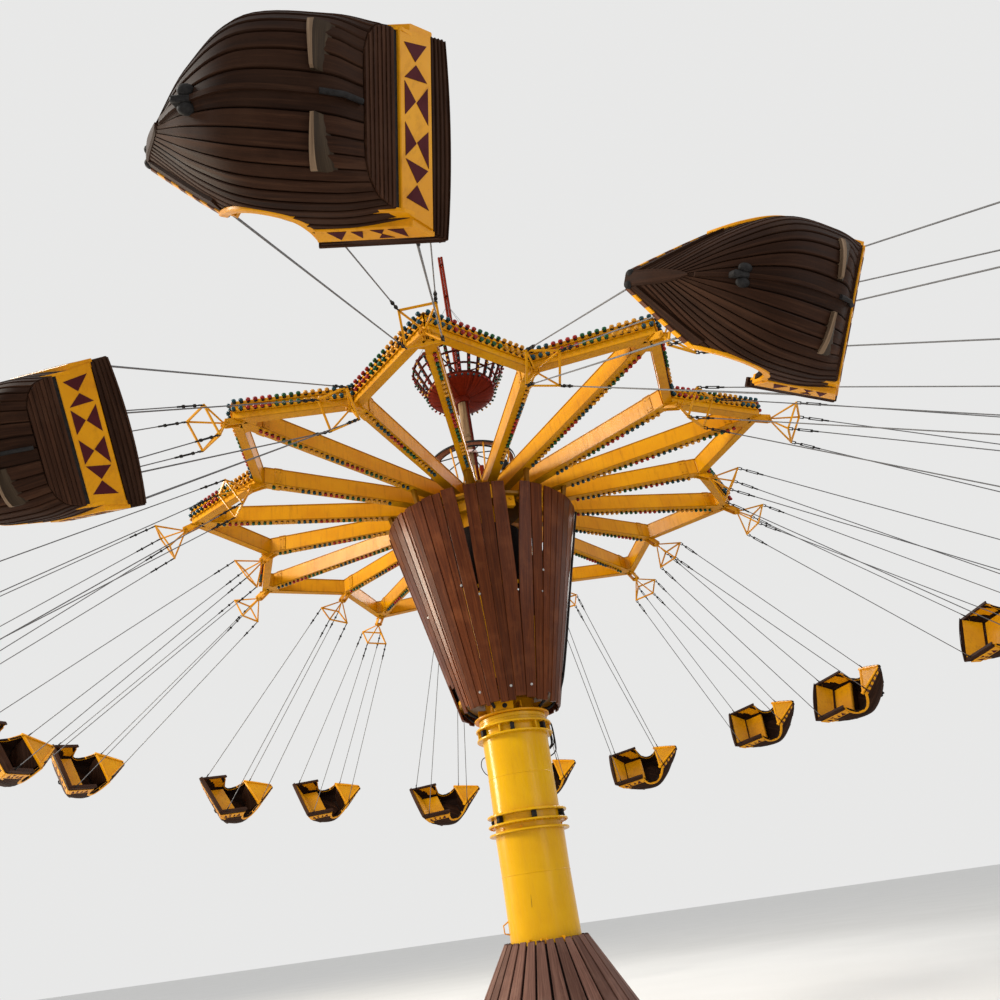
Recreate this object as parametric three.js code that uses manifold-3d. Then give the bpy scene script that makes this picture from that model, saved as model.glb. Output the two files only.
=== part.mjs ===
// A flying boat swing ride: a steel mast carries a turning star of twenty arms,
// and a two-seat boat hangs from each arm tip on a bracket and four steel cables.
// Millimetres, +Z up. The origin is the centre of the mast's foot, on the ground.
// Arm 0 points along -Y, and the arms are counted clockwise seen from above,
// which is also the way the boats travel, bow first.

import * as THREE from 'three';
import { ConvexGeometry } from 'three/addons/geometries/ConvexGeometry.js';
import { mergeVertices } from 'three/addons/utils/BufferGeometryUtils.js';
import Module from 'manifold-3d';

const wasm = await Module();
wasm.setup();

// Driving dimensions

const ARM_COUNT = 20;
const ARM_STEP = (2 * Math.PI) / ARM_COUNT;
const SEAT = 0.3; // what touches keeps this gap
const WELD = 5; // how far one welded piece runs into the next
const ROUND = 24; // sides of the mast and of what is turned with it

const MAST_R = 460;
const MAST_WALL = 12;
const FLANGE_R = 550;
const RING_T = 25;
const FOOT_R = 700;
const FOOT_T = 40;
const LOWER_TOP = 2765;
const UPPER_FOOT = 2860;
const MAST_TOP = 4060;
const JOINT_RINGS_APART = 110;
const HEAD_RINGS_APART = 138;
const JOINT_BLOCKS = 6;
const BLOCK_W = 64;
const BLOCK_DEEP = 70;
const BLOCK_AT = 490; // the blocks' and gussets' middles, from the mast's axis
const BLOCK_PHASE = 0.25; // of the spacing, from -Y
const HEAD_GUSSETS = 6;
const GUSSET_T = 24;
const GUSSET_DEEP = 80;
const GUSSET_PHASE = -0.3;
const BEARING_R = 490;
const BEARING_TOP = 4175;

const SKIRT_FOOT_R = 1380;
const SKIRT_TOP_R = 540;
const SKIRT_TOP = 1380;
const SKIRT_T = 25;

const LEAD_R = 9;
const LEAD_FACET = 7; // the mast facet, counted from -Y towards +X, that the lead runs along
const LEAD_FOOT = 3620;
const LEAD_OUT = 605;
const LEAD_SIDES = 8;
const LEAD_STEPS = 28;

const KING_PIN_R = 60;
const KING_PIN_GAP = 0.6;
const KING_PIN_LENGTH = 110;
const TURNTABLE_Z = 4180;
const HEAD_R = 370;
const MOTOR_R = 62;
const MOTOR_H = 170;
const MOTOR_SIDES = 12;
const MOTOR_AT = 455;
const MOTOR_ANGLE = 1.4 * ARM_STEP;

const CONE_TOP = 7360;
const CONE_FOOT = 4250;
const CONE_TOP_R = 1580;
const CONE_FOOT_R = 738;
const CONE_T = 30;
const STRUT_R = 45;
const STRUT_IN = 85; // struts' middles inside the boards
const FRAME_RING = 40;
const FOOT_RING_Z = CONE_FOOT + 150;
const TOP_RING_Z = CONE_TOP - 190;

const HUB_R = 700;
const BEAM_FOOT = 7620;
const BEAM_TOP = 7900;
const ARM_W = 150;
const RIM_W = 120;
const OUTER_R = 4675;
const INNER_R = 3780;
const OUTER_GUSSET = 360;
const INNER_GUSSET = 200;
const SECTORS = 4;

const PIN_OUT = 70; // the hinge pin stands outside the star's corner
const PIN_R = 20;
const PIN_SIDES = 12;
const PIN_Z = 7525;
const EYE_HALF = 38;
const EYE_BORE = 20.9;
const EYE_W = 60;
const LUG_T = 20;
const LUG_GAP = 8;
const EAR_HALF = 36;
const EAR_LOW = 28; // the ears end this far under the pin's middle, clear of the bracket's legs
const EAR_BACK = 150;

// How far each boat swings out as the ride turns, in degrees, from arm 1 on: no two fly alike
const SWINGS = [59.3, 54.5, 57, 54, 57, 58, 61.5, 53, 54.5, 47.5, 54.5, 49.5, 57, 55, 60, 55, 57, 54, 57, 54.5];
const TWIST = THREE.MathUtils.degToRad(10); // in flight each bow points a little outward
const PENDULUM = 4750; // hinge pin to the boat's top edge
const BRACKET_DROP = 360;
const BRACKET_HALF = 210;
const BRACKET_BAR = 26;
const LEG_R = 16;
const LEG_TOP = new THREE.Vector3(10, 22, -30);
const CABLE_R = 9;

const BOAT_SHIFT = 110; // the boat's middle lies ahead of its four cables
const STERN_X = -790;
const BOW_X = 770;
const BOW_Z = 62;
const BOAT_HALF = 495;
const HULL_DEPTH = 610;
const TRANSOM_SLOPE = 1.242; // the raked stern's rise over its run
const DECK_X = 300;
const DECK_Z = -60;
const PANEL_X = -150; // front of the high side beside the seat
const SEAT_Z = -290;
const SEAT_BACK = 62; // the seat's back stands this far inside the stern
const WELL_X = -250; // the foot well runs forward from here
const WELL_Z = -480;
const STERN_EYE = new THREE.Vector3(-640, 472, 0);
const BOW_EYE = new THREE.Vector3(350, 280, 0);

const POLE_R = 95;
const TOP_POLE_R = 55;
const POLE_SIDES = 16;
const POLE_TOP = 13860;
const NEST_FOOT = 10080;
const POLE_GAP = 1.1;
const BOWL_R = 630;
const BOWL_FOOT_R = 150;
const BOWL_TOP = 10230;
const BOWL_WALL = 25;
const BASKET_R = 880;
const BASKET_TOP = 10800;
const BASKET_RIBS = 24;
const BASKET_FOOT_R = 610;
const HOOP_TALL = 55;
const HOOP_IN = 28;
const HOOP_OUT = 14;
const RIB_R = 24;
const DOME_R = 770;
const DOME_H = 260;
const DOME_RISE = 745; // the canopy's rim stands this far over the hub, on posts
const DOME_POST_R = 600;
const DOME_BAND = 150;
const DOME_BAND_T = 30;
const DOME_RIBS = 8;
const CROWN_R = 140;
const DOME_RIB_T = 22;
const DOME_RIB_DEEP = 60;

// Colours

const finish = (color, roughness, metalness) =>
  new THREE.MeshStandardMaterial({ color, roughness, metalness });
const paint = {
  gold: finish(0xd09a08, 0.35, 0.1),
  planks: finish(0x4a2a1c, 0.7, 0),
  slats: finish(0x6b4c44, 0.75, 0),
  hull: finish(0x2f2019, 0.6, 0),
  bowl: finish(0x571910, 0.6, 0),
  pole: finish(0x6a4a33, 0.7, 0),
  steel: finish(0x8d8f92, 0.4, 0.9),
  rubber: finish(0x171717, 0.6, 0),
};

const ride = new THREE.Group();
const rotor = new THREE.Group();
ride.add(rotor);

// Solids and their joins

function solidOf(geometry, placing = new THREE.Matrix4()) {
  const bare = geometry.clone().applyMatrix4(placing);
  bare.deleteAttribute('normal');
  bare.deleteAttribute('uv');
  const merged = mergeVertices(bare, 1e-3);
  return new wasm.Manifold(
    new wasm.Mesh({
      numProp: 3,
      vertProperties: new Float32Array(merged.attributes.position.array),
      triVerts: new Uint32Array(merged.index.array),
    }),
  );
}

function geometryOf(solid) {
  const mesh = solid.getMesh();
  const geometry = new THREE.BufferGeometry();
  geometry.setAttribute('position', new THREE.BufferAttribute(mesh.vertProperties, 3));
  geometry.setIndex(new THREE.BufferAttribute(mesh.triVerts, 1));
  geometry.computeVertexNormals();
  return geometry;
}

const join = (solids) => solids.reduce((whole, solid) => whole.add(solid));

function addPart(parent, name, geometry, material) {
  const mesh = new THREE.Mesh(geometry, material);
  mesh.name = name;
  parent.add(mesh);
  return mesh;
}

// A solid of revolution about Z. The profile's [radius, height] pairs run
// counter-clockwise: up the outside, in over the top and down the inside.
function turned(profile, sides = ROUND, phase = 0) {
  const points = profile.map(([r, z]) => new THREE.Vector2(r, z));
  return new THREE.LatheGeometry(points, sides, phase).rotateX(Math.PI / 2);
}

const washer = (inner, outer, low, high, sides = ROUND) =>
  turned([[inner, low], [outer, low], [outer, high], [inner, high], [inner, low]], sides);

const box = (x, y, z, at) => new THREE.BoxGeometry(x, y, z).translate(at.x, at.y, at.z);

const aboutZ = (angle) => new THREE.Matrix4().makeRotationZ(angle);

// A straight bar of square or other regular section between two points
function bar(from, to, radius, sides = 4) {
  const along = to.clone().sub(from);
  const turn = new THREE.Quaternion().setFromUnitVectors(
    new THREE.Vector3(0, 1, 0),
    along.clone().normalize(),
  );
  const middle = from.clone().add(to).multiplyScalar(0.5);
  return new THREE.CylinderGeometry(radius, radius, along.length(), sides)
    .applyQuaternion(turn)
    .translate(middle.x, middle.y, middle.z);
}

// A flat plate of the given outline, from z = low to z = high
function plate(outline, low, high, holes = []) {
  const clockwise = THREE.ShapeUtils.isClockWise(outline);
  const shape = new THREE.Shape(clockwise ? [...outline].reverse() : outline);
  shape.holes = holes.map((hole) => new THREE.Path(hole));
  return new THREE.ExtrudeGeometry(shape, { depth: high - low, bevelEnabled: false })
    .translate(0, 0, low);
}

// The mast and what stands round its foot

function circle(radius, sides) {
  return Array.from({ length: sides }, (_, i) => new THREE.Vector2(
    radius * Math.sin((2 * Math.PI * i) / sides),
    -radius * Math.cos((2 * Math.PI * i) / sides),
  ));
}

// A tube with rings round it: the height of each ring's underside is given
function ringedTube(low, high, ringFeet) {
  const inner = MAST_R - MAST_WALL;
  const profile = [[inner, low]];
  for (const z of ringFeet) {
    if (z > low) profile.push([MAST_R, Math.max(low, profile.at(-1)[1])], [MAST_R, z]);
    profile.push([FLANGE_R, z], [FLANGE_R, z + RING_T]);
    if (z + RING_T < high) profile.push([MAST_R, z + RING_T]);
  }
  profile.push([inner, high], [inner, low]);
  const repeated = ([r, z], i) => i > 0 && r === profile[i - 1][0] && z === profile[i - 1][1];
  return turned(profile.filter((point, i) => !repeated(point, i)));
}

function mastLower() {
  const low = FOOT_T + SEAT;
  const topRing = LOWER_TOP - RING_T;
  return ringedTube(low, LOWER_TOP, [low, topRing - JOINT_RINGS_APART, topRing]);
}

function mastJointRing() {
  const low = LOWER_TOP + SEAT;
  const high = UPPER_FOOT - SEAT;
  const middle = new THREE.Vector3(0, -BLOCK_AT, (low + high) / 2);
  const block = box(BLOCK_W, BLOCK_DEEP, high - low, middle);
  const solids = [solidOf(washer(MAST_R - MAST_WALL, MAST_R, low, high))];
  for (let i = 0; i < JOINT_BLOCKS; i += 1) {
    solids.push(solidOf(block, aboutZ((2 * Math.PI * (i + BLOCK_PHASE)) / JOINT_BLOCKS)));
  }
  return join(solids);
}

function mastUpper() {
  const topRing = MAST_TOP - RING_T;
  const lowRing = topRing - HEAD_RINGS_APART;
  const tube = ringedTube(UPPER_FOOT, MAST_TOP, [UPPER_FOOT, lowRing, topRing]);
  const low = lowRing + RING_T - WELD;
  const high = topRing + WELD;
  const gusset = box(GUSSET_T, GUSSET_DEEP, high - low,
    new THREE.Vector3(0, -BLOCK_AT, (low + high) / 2));
  const solids = [solidOf(tube)];
  for (let i = 0; i < HEAD_GUSSETS; i += 1) {
    solids.push(solidOf(gusset, aboutZ((2 * Math.PI * (i + GUSSET_PHASE)) / HEAD_GUSSETS)));
  }
  return join(solids);
}

const slewingBearing = () =>
  washer(KING_PIN_R + KING_PIN_GAP, BEARING_R, MAST_TOP + SEAT, BEARING_TOP);

function baseSkirt() {
  const lip = MAST_R + SEAT;
  return turned([[SKIRT_FOOT_R - SKIRT_T, 0], [SKIRT_FOOT_R, 0], [SKIRT_TOP_R, SKIRT_TOP],
    [lip, SKIRT_TOP], [lip, SKIRT_TOP - SKIRT_T], [SKIRT_TOP_R - SKIRT_T, SKIRT_TOP - SKIRT_T],
    [SKIRT_FOOT_R - SKIRT_T, 0]]);
}

// The lead leaves the mast, bows out round the head's rings and enters the bearing
function powerLead() {
  const facet = Math.cos(Math.PI / ROUND);
  const route = [
    [MAST_R * facet + SEAT, LEAD_FOOT], [MAST_R * facet + 40, LEAD_FOOT],
    [LEAD_OUT - 30, LEAD_FOOT + 50], [LEAD_OUT, LEAD_FOOT + 130],
    [LEAD_OUT, MAST_TOP - 60], [LEAD_OUT - 30, MAST_TOP + 20],
    [BEARING_R * facet + 40, MAST_TOP + 60], [BEARING_R * facet + SEAT, MAST_TOP + 60],
  ].map(([r, z]) => new THREE.Vector3(0, -r, z));
  const section = new THREE.Shape(circle(LEAD_R, LEAD_SIDES));
  const extrudePath = new THREE.CatmullRomCurve3(route, false, 'centripetal');
  return new THREE.ExtrudeGeometry(section, { steps: LEAD_STEPS, extrudePath, bevelEnabled: false })
    .rotateZ(((LEAD_FACET + 0.5) * 2 * Math.PI) / ROUND);
}

addPart(ride, 'foot_plate', plate(circle(FOOT_R, ROUND), 0, FOOT_T), paint.gold);
addPart(ride, 'mast_lower', mastLower(), paint.gold);
addPart(ride, 'mast_joint_ring', geometryOf(mastJointRing()), paint.gold);
addPart(ride, 'mast_upper', geometryOf(mastUpper()), paint.gold);
addPart(ride, 'slewing_bearing', slewingBearing(), paint.steel);
addPart(ride, 'power_lead', powerLead(), paint.rubber);
addPart(ride, 'base_skirt', baseSkirt(), paint.slats);

// The turning head, and the wooden cone round it

function turningHead() {
  const pinFoot = BEARING_TOP - KING_PIN_LENGTH;
  return turned([[0, pinFoot], [KING_PIN_R, pinFoot], [KING_PIN_R, TURNTABLE_Z],
    [FLANGE_R, TURNTABLE_Z], [FLANGE_R, TURNTABLE_Z + RING_T], [HEAD_R, TURNTABLE_Z + RING_T],
    [HEAD_R, BEAM_FOOT - SEAT], [0, BEAM_FOOT - SEAT]]);
}

function driveMotor() {
  const foot = TURNTABLE_Z + RING_T + SEAT;
  return new THREE.CylinderGeometry(MOTOR_R, MOTOR_R, MOTOR_H, MOTOR_SIDES).rotateX(Math.PI / 2)
    .translate(-MOTOR_AT * Math.sin(MOTOR_ANGLE), -MOTOR_AT * Math.cos(MOTOR_ANGLE),
      foot + MOTOR_H / 2);
}

const coneInside = (z) =>
  CONE_FOOT_R - CONE_T + ((CONE_TOP_R - CONE_FOOT_R) * (z - CONE_FOOT)) / (CONE_TOP - CONE_FOOT);

function coneCladding() {
  return turned([[coneInside(CONE_FOOT), CONE_FOOT], [CONE_FOOT_R, CONE_FOOT],
    [CONE_TOP_R, CONE_TOP], [coneInside(CONE_TOP), CONE_TOP],
    [coneInside(CONE_FOOT), CONE_FOOT]], ARM_COUNT);
}

function coneFrame() {
  const ring = (low, bore) => {
    const high = low + FRAME_RING;
    return turned([[bore, low], [coneInside(low) - SEAT, low], [coneInside(high) - SEAT, high],
      [bore, high], [bore, low]], ARM_COUNT);
  };
  const strutTop = BEAM_FOOT - SEAT;
  const beyond = 60; // the struts are made too long, and then cut level with the beams
  const solids = [
    solidOf(ring(FOOT_RING_Z, HEAD_R - FRAME_RING / 2)),
    solidOf(ring(TOP_RING_Z, coneInside(TOP_RING_Z) - 2 * STRUT_R)),
  ];
  for (let i = 0; i < ARM_COUNT / 2; i += 1) {
    const angle = 2 * i * ARM_STEP;
    const at = (r, z) => new THREE.Vector3(-r * Math.sin(angle), -r * Math.cos(angle), z);
    solids.push(solidOf(bar(at(coneInside(FOOT_RING_Z) - STRUT_IN, FOOT_RING_Z + FRAME_RING / 2),
      at(coneInside(strutTop) - STRUT_IN, strutTop + beyond), STRUT_R)));
  }
  const wide = CONE_TOP_R + 200;
  const trim = solidOf(turned([[0, strutTop], [wide, strutTop], [wide, strutTop + 200],
    [0, strutTop + 200]], ARM_COUNT));
  const clear = HEAD_R + SEAT;
  const headSpace = solidOf(turned([[0, CONE_FOOT], [clear, CONE_FOOT], [clear, BEAM_FOOT],
    [0, BEAM_FOOT]]));
  return join(solids).subtract(trim).subtract(headSpace);
}

addPart(rotor, 'turning_head', turningHead(), paint.gold);
addPart(rotor, 'drive_motor', driveMotor(), paint.gold);
addPart(rotor, 'cone_cladding', coneCladding(), paint.planks);
addPart(rotor, 'cone_frame', geometryOf(coneFrame()), paint.gold);

// The star: hub, arms, rim beams, gussets and the lugs that carry the boats

const tipRadius = (k) => (k % 2 === 0 ? OUTER_R : INNER_R);
const tip = (k, scale = 1) => {
  const r = tipRadius(((k % ARM_COUNT) + ARM_COUNT) % ARM_COUNT) * scale;
  return new THREE.Vector2(-r * Math.sin(k * ARM_STEP), -r * Math.cos(k * ARM_STEP));
};

function hubDeck() {
  const r = (HUB_R - SEAT) / Math.cos(ARM_STEP / 2);
  return turned([[0, BEAM_FOOT], [r, BEAM_FOOT], [r, BEAM_TOP], [0, BEAM_TOP]],
    ARM_COUNT, ARM_STEP / 2);
}

// The point on the line from a corner towards another, a given way along it
const towards = (from, to, way) =>
  from.clone().add(to.clone().sub(from).setLength(way));

function rimOutline() {
  const outer = [];
  const inner = [];
  for (let k = 0; k < ARM_COUNT; k += 1) {
    const here = tip(k);
    const before = tip(k - 1).sub(here).normalize();
    const after = tip(k + 1).sub(here).normalize();
    const cosine = before.dot(after);
    const halfAngle = Math.acos(cosine) / 2;
    const inward = here.clone().multiplyScalar(-1).normalize();
    outer.push(here);
    inner.push(here.clone().add(inward.multiplyScalar(RIM_W / Math.sin(halfAngle))));
  }
  return { outer, inner };
}

// Two ears under a corner, and the pin between them. The ears' outline is
// given by distance from the mast's axis and by height.
function lug(k) {
  const r = tipRadius(k);
  const pin = r + PIN_OUT;
  const outline = [[r - EAR_BACK, BEAM_FOOT + WELD], [r - WELD, BEAM_FOOT + WELD],
    [r - WELD, BEAM_FOOT - WELD], [pin + EAR_HALF, PIN_Z + EAR_HALF],
    [pin + EAR_HALF, PIN_Z - EAR_LOW], [pin - EAR_HALF, PIN_Z - EAR_LOW],
    [r - EAR_BACK, BEAM_FOOT - EAR_HALF]];
  const upright = new THREE.Matrix4().makeBasis(
    new THREE.Vector3(0, -1, 0),
    new THREE.Vector3(0, 0, 1),
    new THREE.Vector3(-1, 0, 0),
  );
  const inside = EYE_W / 2 + LUG_GAP;
  const solids = [[inside, inside + LUG_T], [-inside - LUG_T, -inside]].map(([low, high]) =>
    solidOf(plate(outline.map(([a, b]) => new THREE.Vector2(a, b)), low, high), upright));
  const pinBar = new THREE.CylinderGeometry(PIN_R, PIN_R, 2 * inside + LUG_T, PIN_SIDES)
    .rotateZ(Math.PI / 2).translate(0, -pin, PIN_Z);
  return join([...solids, solidOf(pinBar)]);
}

function starSector(index) {
  const perSector = ARM_COUNT / SECTORS;
  const { outer, inner } = rimOutline();
  const solids = [solidOf(plate(outer, BEAM_FOOT, BEAM_TOP, [inner]))];
  for (let k = 0; k < ARM_COUNT; k += 1) {
    const r = tipRadius(k) - RIM_W;
    const beam = box(ARM_W, r - HUB_R, BEAM_TOP - BEAM_FOOT,
      new THREE.Vector3(0, -(r + HUB_R) / 2, (BEAM_TOP + BEAM_FOOT) / 2));
    solids.push(solidOf(beam, aboutZ(-k * ARM_STEP)));
    const reach = k % 2 === 0 ? OUTER_GUSSET : INNER_GUSSET;
    const hub = tip(k, 1 - reach / tipRadius(k));
    const corner = tip(k, 1 - WELD / tipRadius(k));
    for (const next of [k - 1, k + 1]) {
      const alongRim = towards(corner, tip(next), reach);
      solids.push(solidOf(plate([corner, alongRim, hub], BEAM_FOOT, BEAM_TOP)));
    }
    solids.push(solidOf(lugGeometry[k % 2], aboutZ(-k * ARM_STEP)));
  }
  const from = (index * perSector - 0.5) * ARM_STEP;
  const far = 2 * OUTER_R;
  const edge = (angle) => new THREE.Vector2(-far * Math.sin(angle), -far * Math.cos(angle));
  const middle = from + (perSector * ARM_STEP) / 2;
  const apex = edge(middle).setLength(SEAT);
  const wedge = plate([apex, edge(from + perSector * ARM_STEP), edge(from)], 0, BEAM_TOP * 2);
  return join(solids).intersect(solidOf(wedge));
}

const lugGeometry = [geometryOf(lug(0)), geometryOf(lug(1))];

addPart(rotor, 'hub_deck', hubDeck(), paint.gold);
for (let i = 0; i < SECTORS; i += 1) {
  addPart(rotor, `star_sector_${i + 1}`, geometryOf(starSector(i)), paint.gold);
}

// The pole, the lookout basket on it and the cage over the hub

function nestPole() {
  return turned([[0, BEAM_TOP + SEAT], [POLE_R, BEAM_TOP + SEAT], [POLE_R, NEST_FOOT],
    [TOP_POLE_R, NEST_FOOT], [TOP_POLE_R, POLE_TOP], [0, POLE_TOP]], POLE_SIDES);
}

function nestBowl() {
  const height = BOWL_TOP - NEST_FOOT - SEAT;
  const steps = 4;
  const arc = (radius, rise) => Array.from({ length: steps + 1 }, (_, i) => {
    const turn = (Math.PI / 2) * (i / steps);
    return [BOWL_FOOT_R + (radius - BOWL_FOOT_R) * Math.sin(turn), rise * (1 - Math.cos(turn))];
  });
  const foot = NEST_FOOT + SEAT;
  const bore = TOP_POLE_R + POLE_GAP;
  const outside = arc(BOWL_R, height).map(([r, z]) => [r, foot + z]);
  const inside = arc(BOWL_R - BOWL_WALL, height - BOWL_WALL)
    .map(([r, z]) => [r, foot + BOWL_WALL + z]);
  return turned([[bore, foot], ...outside, ...inside.reverse(), [bore, foot + BOWL_WALL],
    [bore, foot]], BASKET_RIBS);
}

function nestBasket() {
  const foot = BOWL_TOP + SEAT;
  const radiusAt = (z) =>
    BASKET_FOOT_R + ((BASKET_R - BASKET_FOOT_R) * (z - foot)) / (BASKET_TOP - foot);
  const hoop = (z) =>
    washer(radiusAt(z) - HOOP_IN, radiusAt(z) + HOOP_OUT, z, z + HOOP_TALL, BASKET_RIBS);
  const solids = [solidOf(hoop(foot)), solidOf(hoop(BASKET_TOP - HOOP_TALL))];
  for (let i = 0; i < BASKET_RIBS; i += 1) {
    const angle = ((i + 0.5) * 2 * Math.PI) / BASKET_RIBS;
    const at = (z) => new THREE.Vector3(Math.sin(angle), Math.cos(angle), 0)
      .multiplyScalar(radiusAt(z) - HOOP_IN / 2).setZ(z);
    solids.push(solidOf(bar(at(foot + HOOP_TALL - WELD), at(BASKET_TOP - HOOP_TALL + WELD),
      RIB_R, 3)));
  }
  return join(solids);
}

// Ribs that stand on the hub, lean out to a wide rim and rise from it to the pole
function domeCage() {
  const bore = POLE_R + POLE_GAP;
  const foot = BEAM_TOP + SEAT;
  const outline = [
    [DOME_POST_R, 0], [DOME_R, DOME_RISE], [0, DOME_RISE + DOME_H],
    [0, DOME_RISE + DOME_H - DOME_RIB_DEEP], [DOME_R - DOME_RIB_DEEP, DOME_RISE - DOME_RIB_T],
    [DOME_POST_R - DOME_RIB_DEEP, 0],
  ].map(([r, z]) => new THREE.Vector2(r, z));
  const rib = plate(outline, -DOME_RIB_T / 2, DOME_RIB_T / 2)
    .rotateX(Math.PI / 2).translate(0, 0, foot);
  const rim = foot + DOME_RISE;
  const top = rim + DOME_H;
  const crown = washer(POLE_R, CROWN_R, top - DOME_RIB_DEEP - DOME_RIB_T, top - DOME_RIB_T / 2,
    POLE_SIDES);
  const band = washer(DOME_R - DOME_BAND, DOME_R, rim - DOME_BAND_T, rim, POLE_SIDES);
  const solids = [solidOf(crown), solidOf(band)];
  for (let i = 0; i < DOME_RIBS; i += 1) {
    solids.push(solidOf(rib, aboutZ(((i + 0.5) * 2 * Math.PI) / DOME_RIBS)));
  }
  const poleSpace = new THREE.CylinderGeometry(bore, bore, 2 * DOME_H, POLE_SIDES)
    .rotateX(Math.PI / 2).translate(0, 0, top);
  return join(solids).subtract(solidOf(poleSpace));
}

addPart(rotor, 'nest_pole', nestPole(), paint.pole);
addPart(rotor, 'nest_bowl', nestBowl(), paint.bowl);
addPart(rotor, 'nest_basket', geometryOf(nestBasket()), paint.bowl);
addPart(rotor, 'dome_cage', geometryOf(domeCage()), paint.pole);

// One hanger: an eye on the pin, a four-legged bracket and four cables.
// In a boat's frame x runs forward, y outward and z up towards the pin.

const deckHeight = (x) => DECK_Z + ((BOW_Z - DECK_Z) * (x - DECK_X)) / (BOW_X - DECK_X);
const twisted = (point) => point.applyAxisAngle(new THREE.Vector3(0, 0, 1), TWIST);

function cable(corner, foot) {
  const length = corner.z - foot.z;
  const lean = new THREE.Matrix4().makeShear(0, 0, 0, 0,
    (corner.x - foot.x) / length, (corner.y - foot.y) / length);
  return new THREE.CylinderGeometry(CABLE_R, CABLE_R, length, 3)
    .rotateX(Math.PI / 2).translate(0, 0, length / 2)
    .applyMatrix4(lean).translate(foot.x, foot.y, foot.z);
}

function hanger() {
  const half = BRACKET_HALF;
  const edge = BRACKET_BAR / 2;
  const square = (s) => [[-s, -s], [s, -s], [s, s], [-s, s]]
    .map(([x, y]) => new THREE.Vector2(x, y));
  const frame = plate(square(half + edge), -BRACKET_DROP, -BRACKET_DROP + BRACKET_BAR,
    [square(half - edge)]);
  const eye = plate(square(EYE_HALF), -EYE_W / 2, EYE_W / 2, [circle(EYE_BORE, PIN_SIDES)])
    .rotateY(Math.PI / 2);
  const solids = [solidOf(frame), solidOf(eye)];
  for (const sx of [-1, 1]) {
    for (const sy of [-1, 1]) {
      const corner = new THREE.Vector3(sx * half, sy * half, -BRACKET_DROP + edge);
      const shoulder = new THREE.Vector3(sx * LEG_TOP.x, sy * LEG_TOP.y, LEG_TOP.z);
      solids.push(solidOf(bar(shoulder, corner, LEG_R, 3)));
      const eyeAt = sx < 0 ? STERN_EYE : BOW_EYE;
      const rest = sx < 0 ? 0 : deckHeight(eyeAt.x + CABLE_R);
      const foot = twisted(new THREE.Vector3(eyeAt.x + BOAT_SHIFT, sy * eyeAt.y, 0));
      foot.z = -PENDULUM + rest + SEAT;
      solids.push(solidOf(cable(corner.setZ(-BRACKET_DROP + WELD), foot)));
    }
  }
  return join(solids);
}

// One boat: a planked hull with a raked stern and a pointed bow, a bench, and
// a cut-out in each side to step through

function mirrored(points) {
  return points.flatMap(([x, y, z]) => [new THREE.Vector3(x, y, z), new THREE.Vector3(x, -y, z)]);
}

const transomX = (z) => STERN_X - z / TRANSOM_SLOPE;

function boat() {
  const outside = new ConvexGeometry(mirrored([
    [STERN_X, BOAT_HALF, 0], [transomX(-350), 395, -350], [transomX(-404), 250, -404],
    [-300, 330, -530], [80, 270, -HULL_DEPTH], [-300, 465, -300], [60, 430, -300],
    [-300, 505, 0], [PANEL_X, 500, 0], [DECK_X, 352, DECK_Z + 30], [340, 200, -500],
    [560, 100, -290], [700, 35, -110], [BOW_X, 28, BOW_Z],
  ]));
  const seatBack = (z) => transomX(z) + SEAT_BACK;
  const high = 300;
  const bench = new ConvexGeometry(mirrored([
    [seatBack(SEAT_Z), 385, SEAT_Z], [seatBack(0), 450, 0], [seatBack(high), 450, high],
    [PANEL_X, 400, SEAT_Z], [PANEL_X, 455, 0], [PANEL_X, 455, high],
  ]));
  const well = new ConvexGeometry(mirrored([
    [WELL_X, 300, WELL_Z], [140, 215, WELL_Z], [240, 215, -370], [285, 300, -60],
    [285, 300, high], [WELL_X, 405, -230], [WELL_X, 455, 0], [WELL_X, 455, high],
  ]));
  const wide = 900;
  const sheer = [[STERN_X - 100, 0], [PANEL_X, 0], [-140, -110], [-120, -210], [-60, -280],
    [30, -310], [120, -290], [200, -220], [260, -130], [DECK_X, DECK_Z], [BOW_X, BOW_Z],
    [BOW_X + wide, BOW_Z], [BOW_X + wide, wide], [STERN_X - 100, wide]];
  const above = plate(sheer.map(([x, z]) => new THREE.Vector2(x, z)), -wide, wide)
    .rotateX(Math.PI / 2);
  return solidOf(outside)
    .subtract(solidOf(bench))
    .subtract(solidOf(well))
    .subtract(solidOf(above));
}

const hangerGeometry = geometryOf(hanger());
const boatGeometry = geometryOf(boat());

for (let k = 0; k < ARM_COUNT; k += 1) {
  const number = String(k + 1).padStart(2, '0');
  const arm = new THREE.Group();
  arm.rotation.z = -k * ARM_STEP;
  rotor.add(arm);
  const swing = new THREE.Group();
  swing.position.set(0, -(tipRadius(k) + PIN_OUT), PIN_Z);
  swing.rotation.set(THREE.MathUtils.degToRad(SWINGS[k]), 0, Math.PI, 'ZXY');
  arm.add(swing);
  addPart(swing, `hanger_${number}`, hangerGeometry, paint.gold);
  const hull = addPart(swing, `boat_${number}`, boatGeometry, paint.hull);
  hull.position.copy(twisted(new THREE.Vector3(BOAT_SHIFT, 0, 0))).setZ(-PENDULUM);
  hull.rotation.z = TWIST;
}

export default ride;
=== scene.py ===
"""Dresses the flying boat swing ride: boards, paint, bulbs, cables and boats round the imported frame."""
import random
from math import cos, hypot, pi, radians, sin, tan

import bmesh
import bpy
from mathutils import Matrix, Vector


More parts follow.
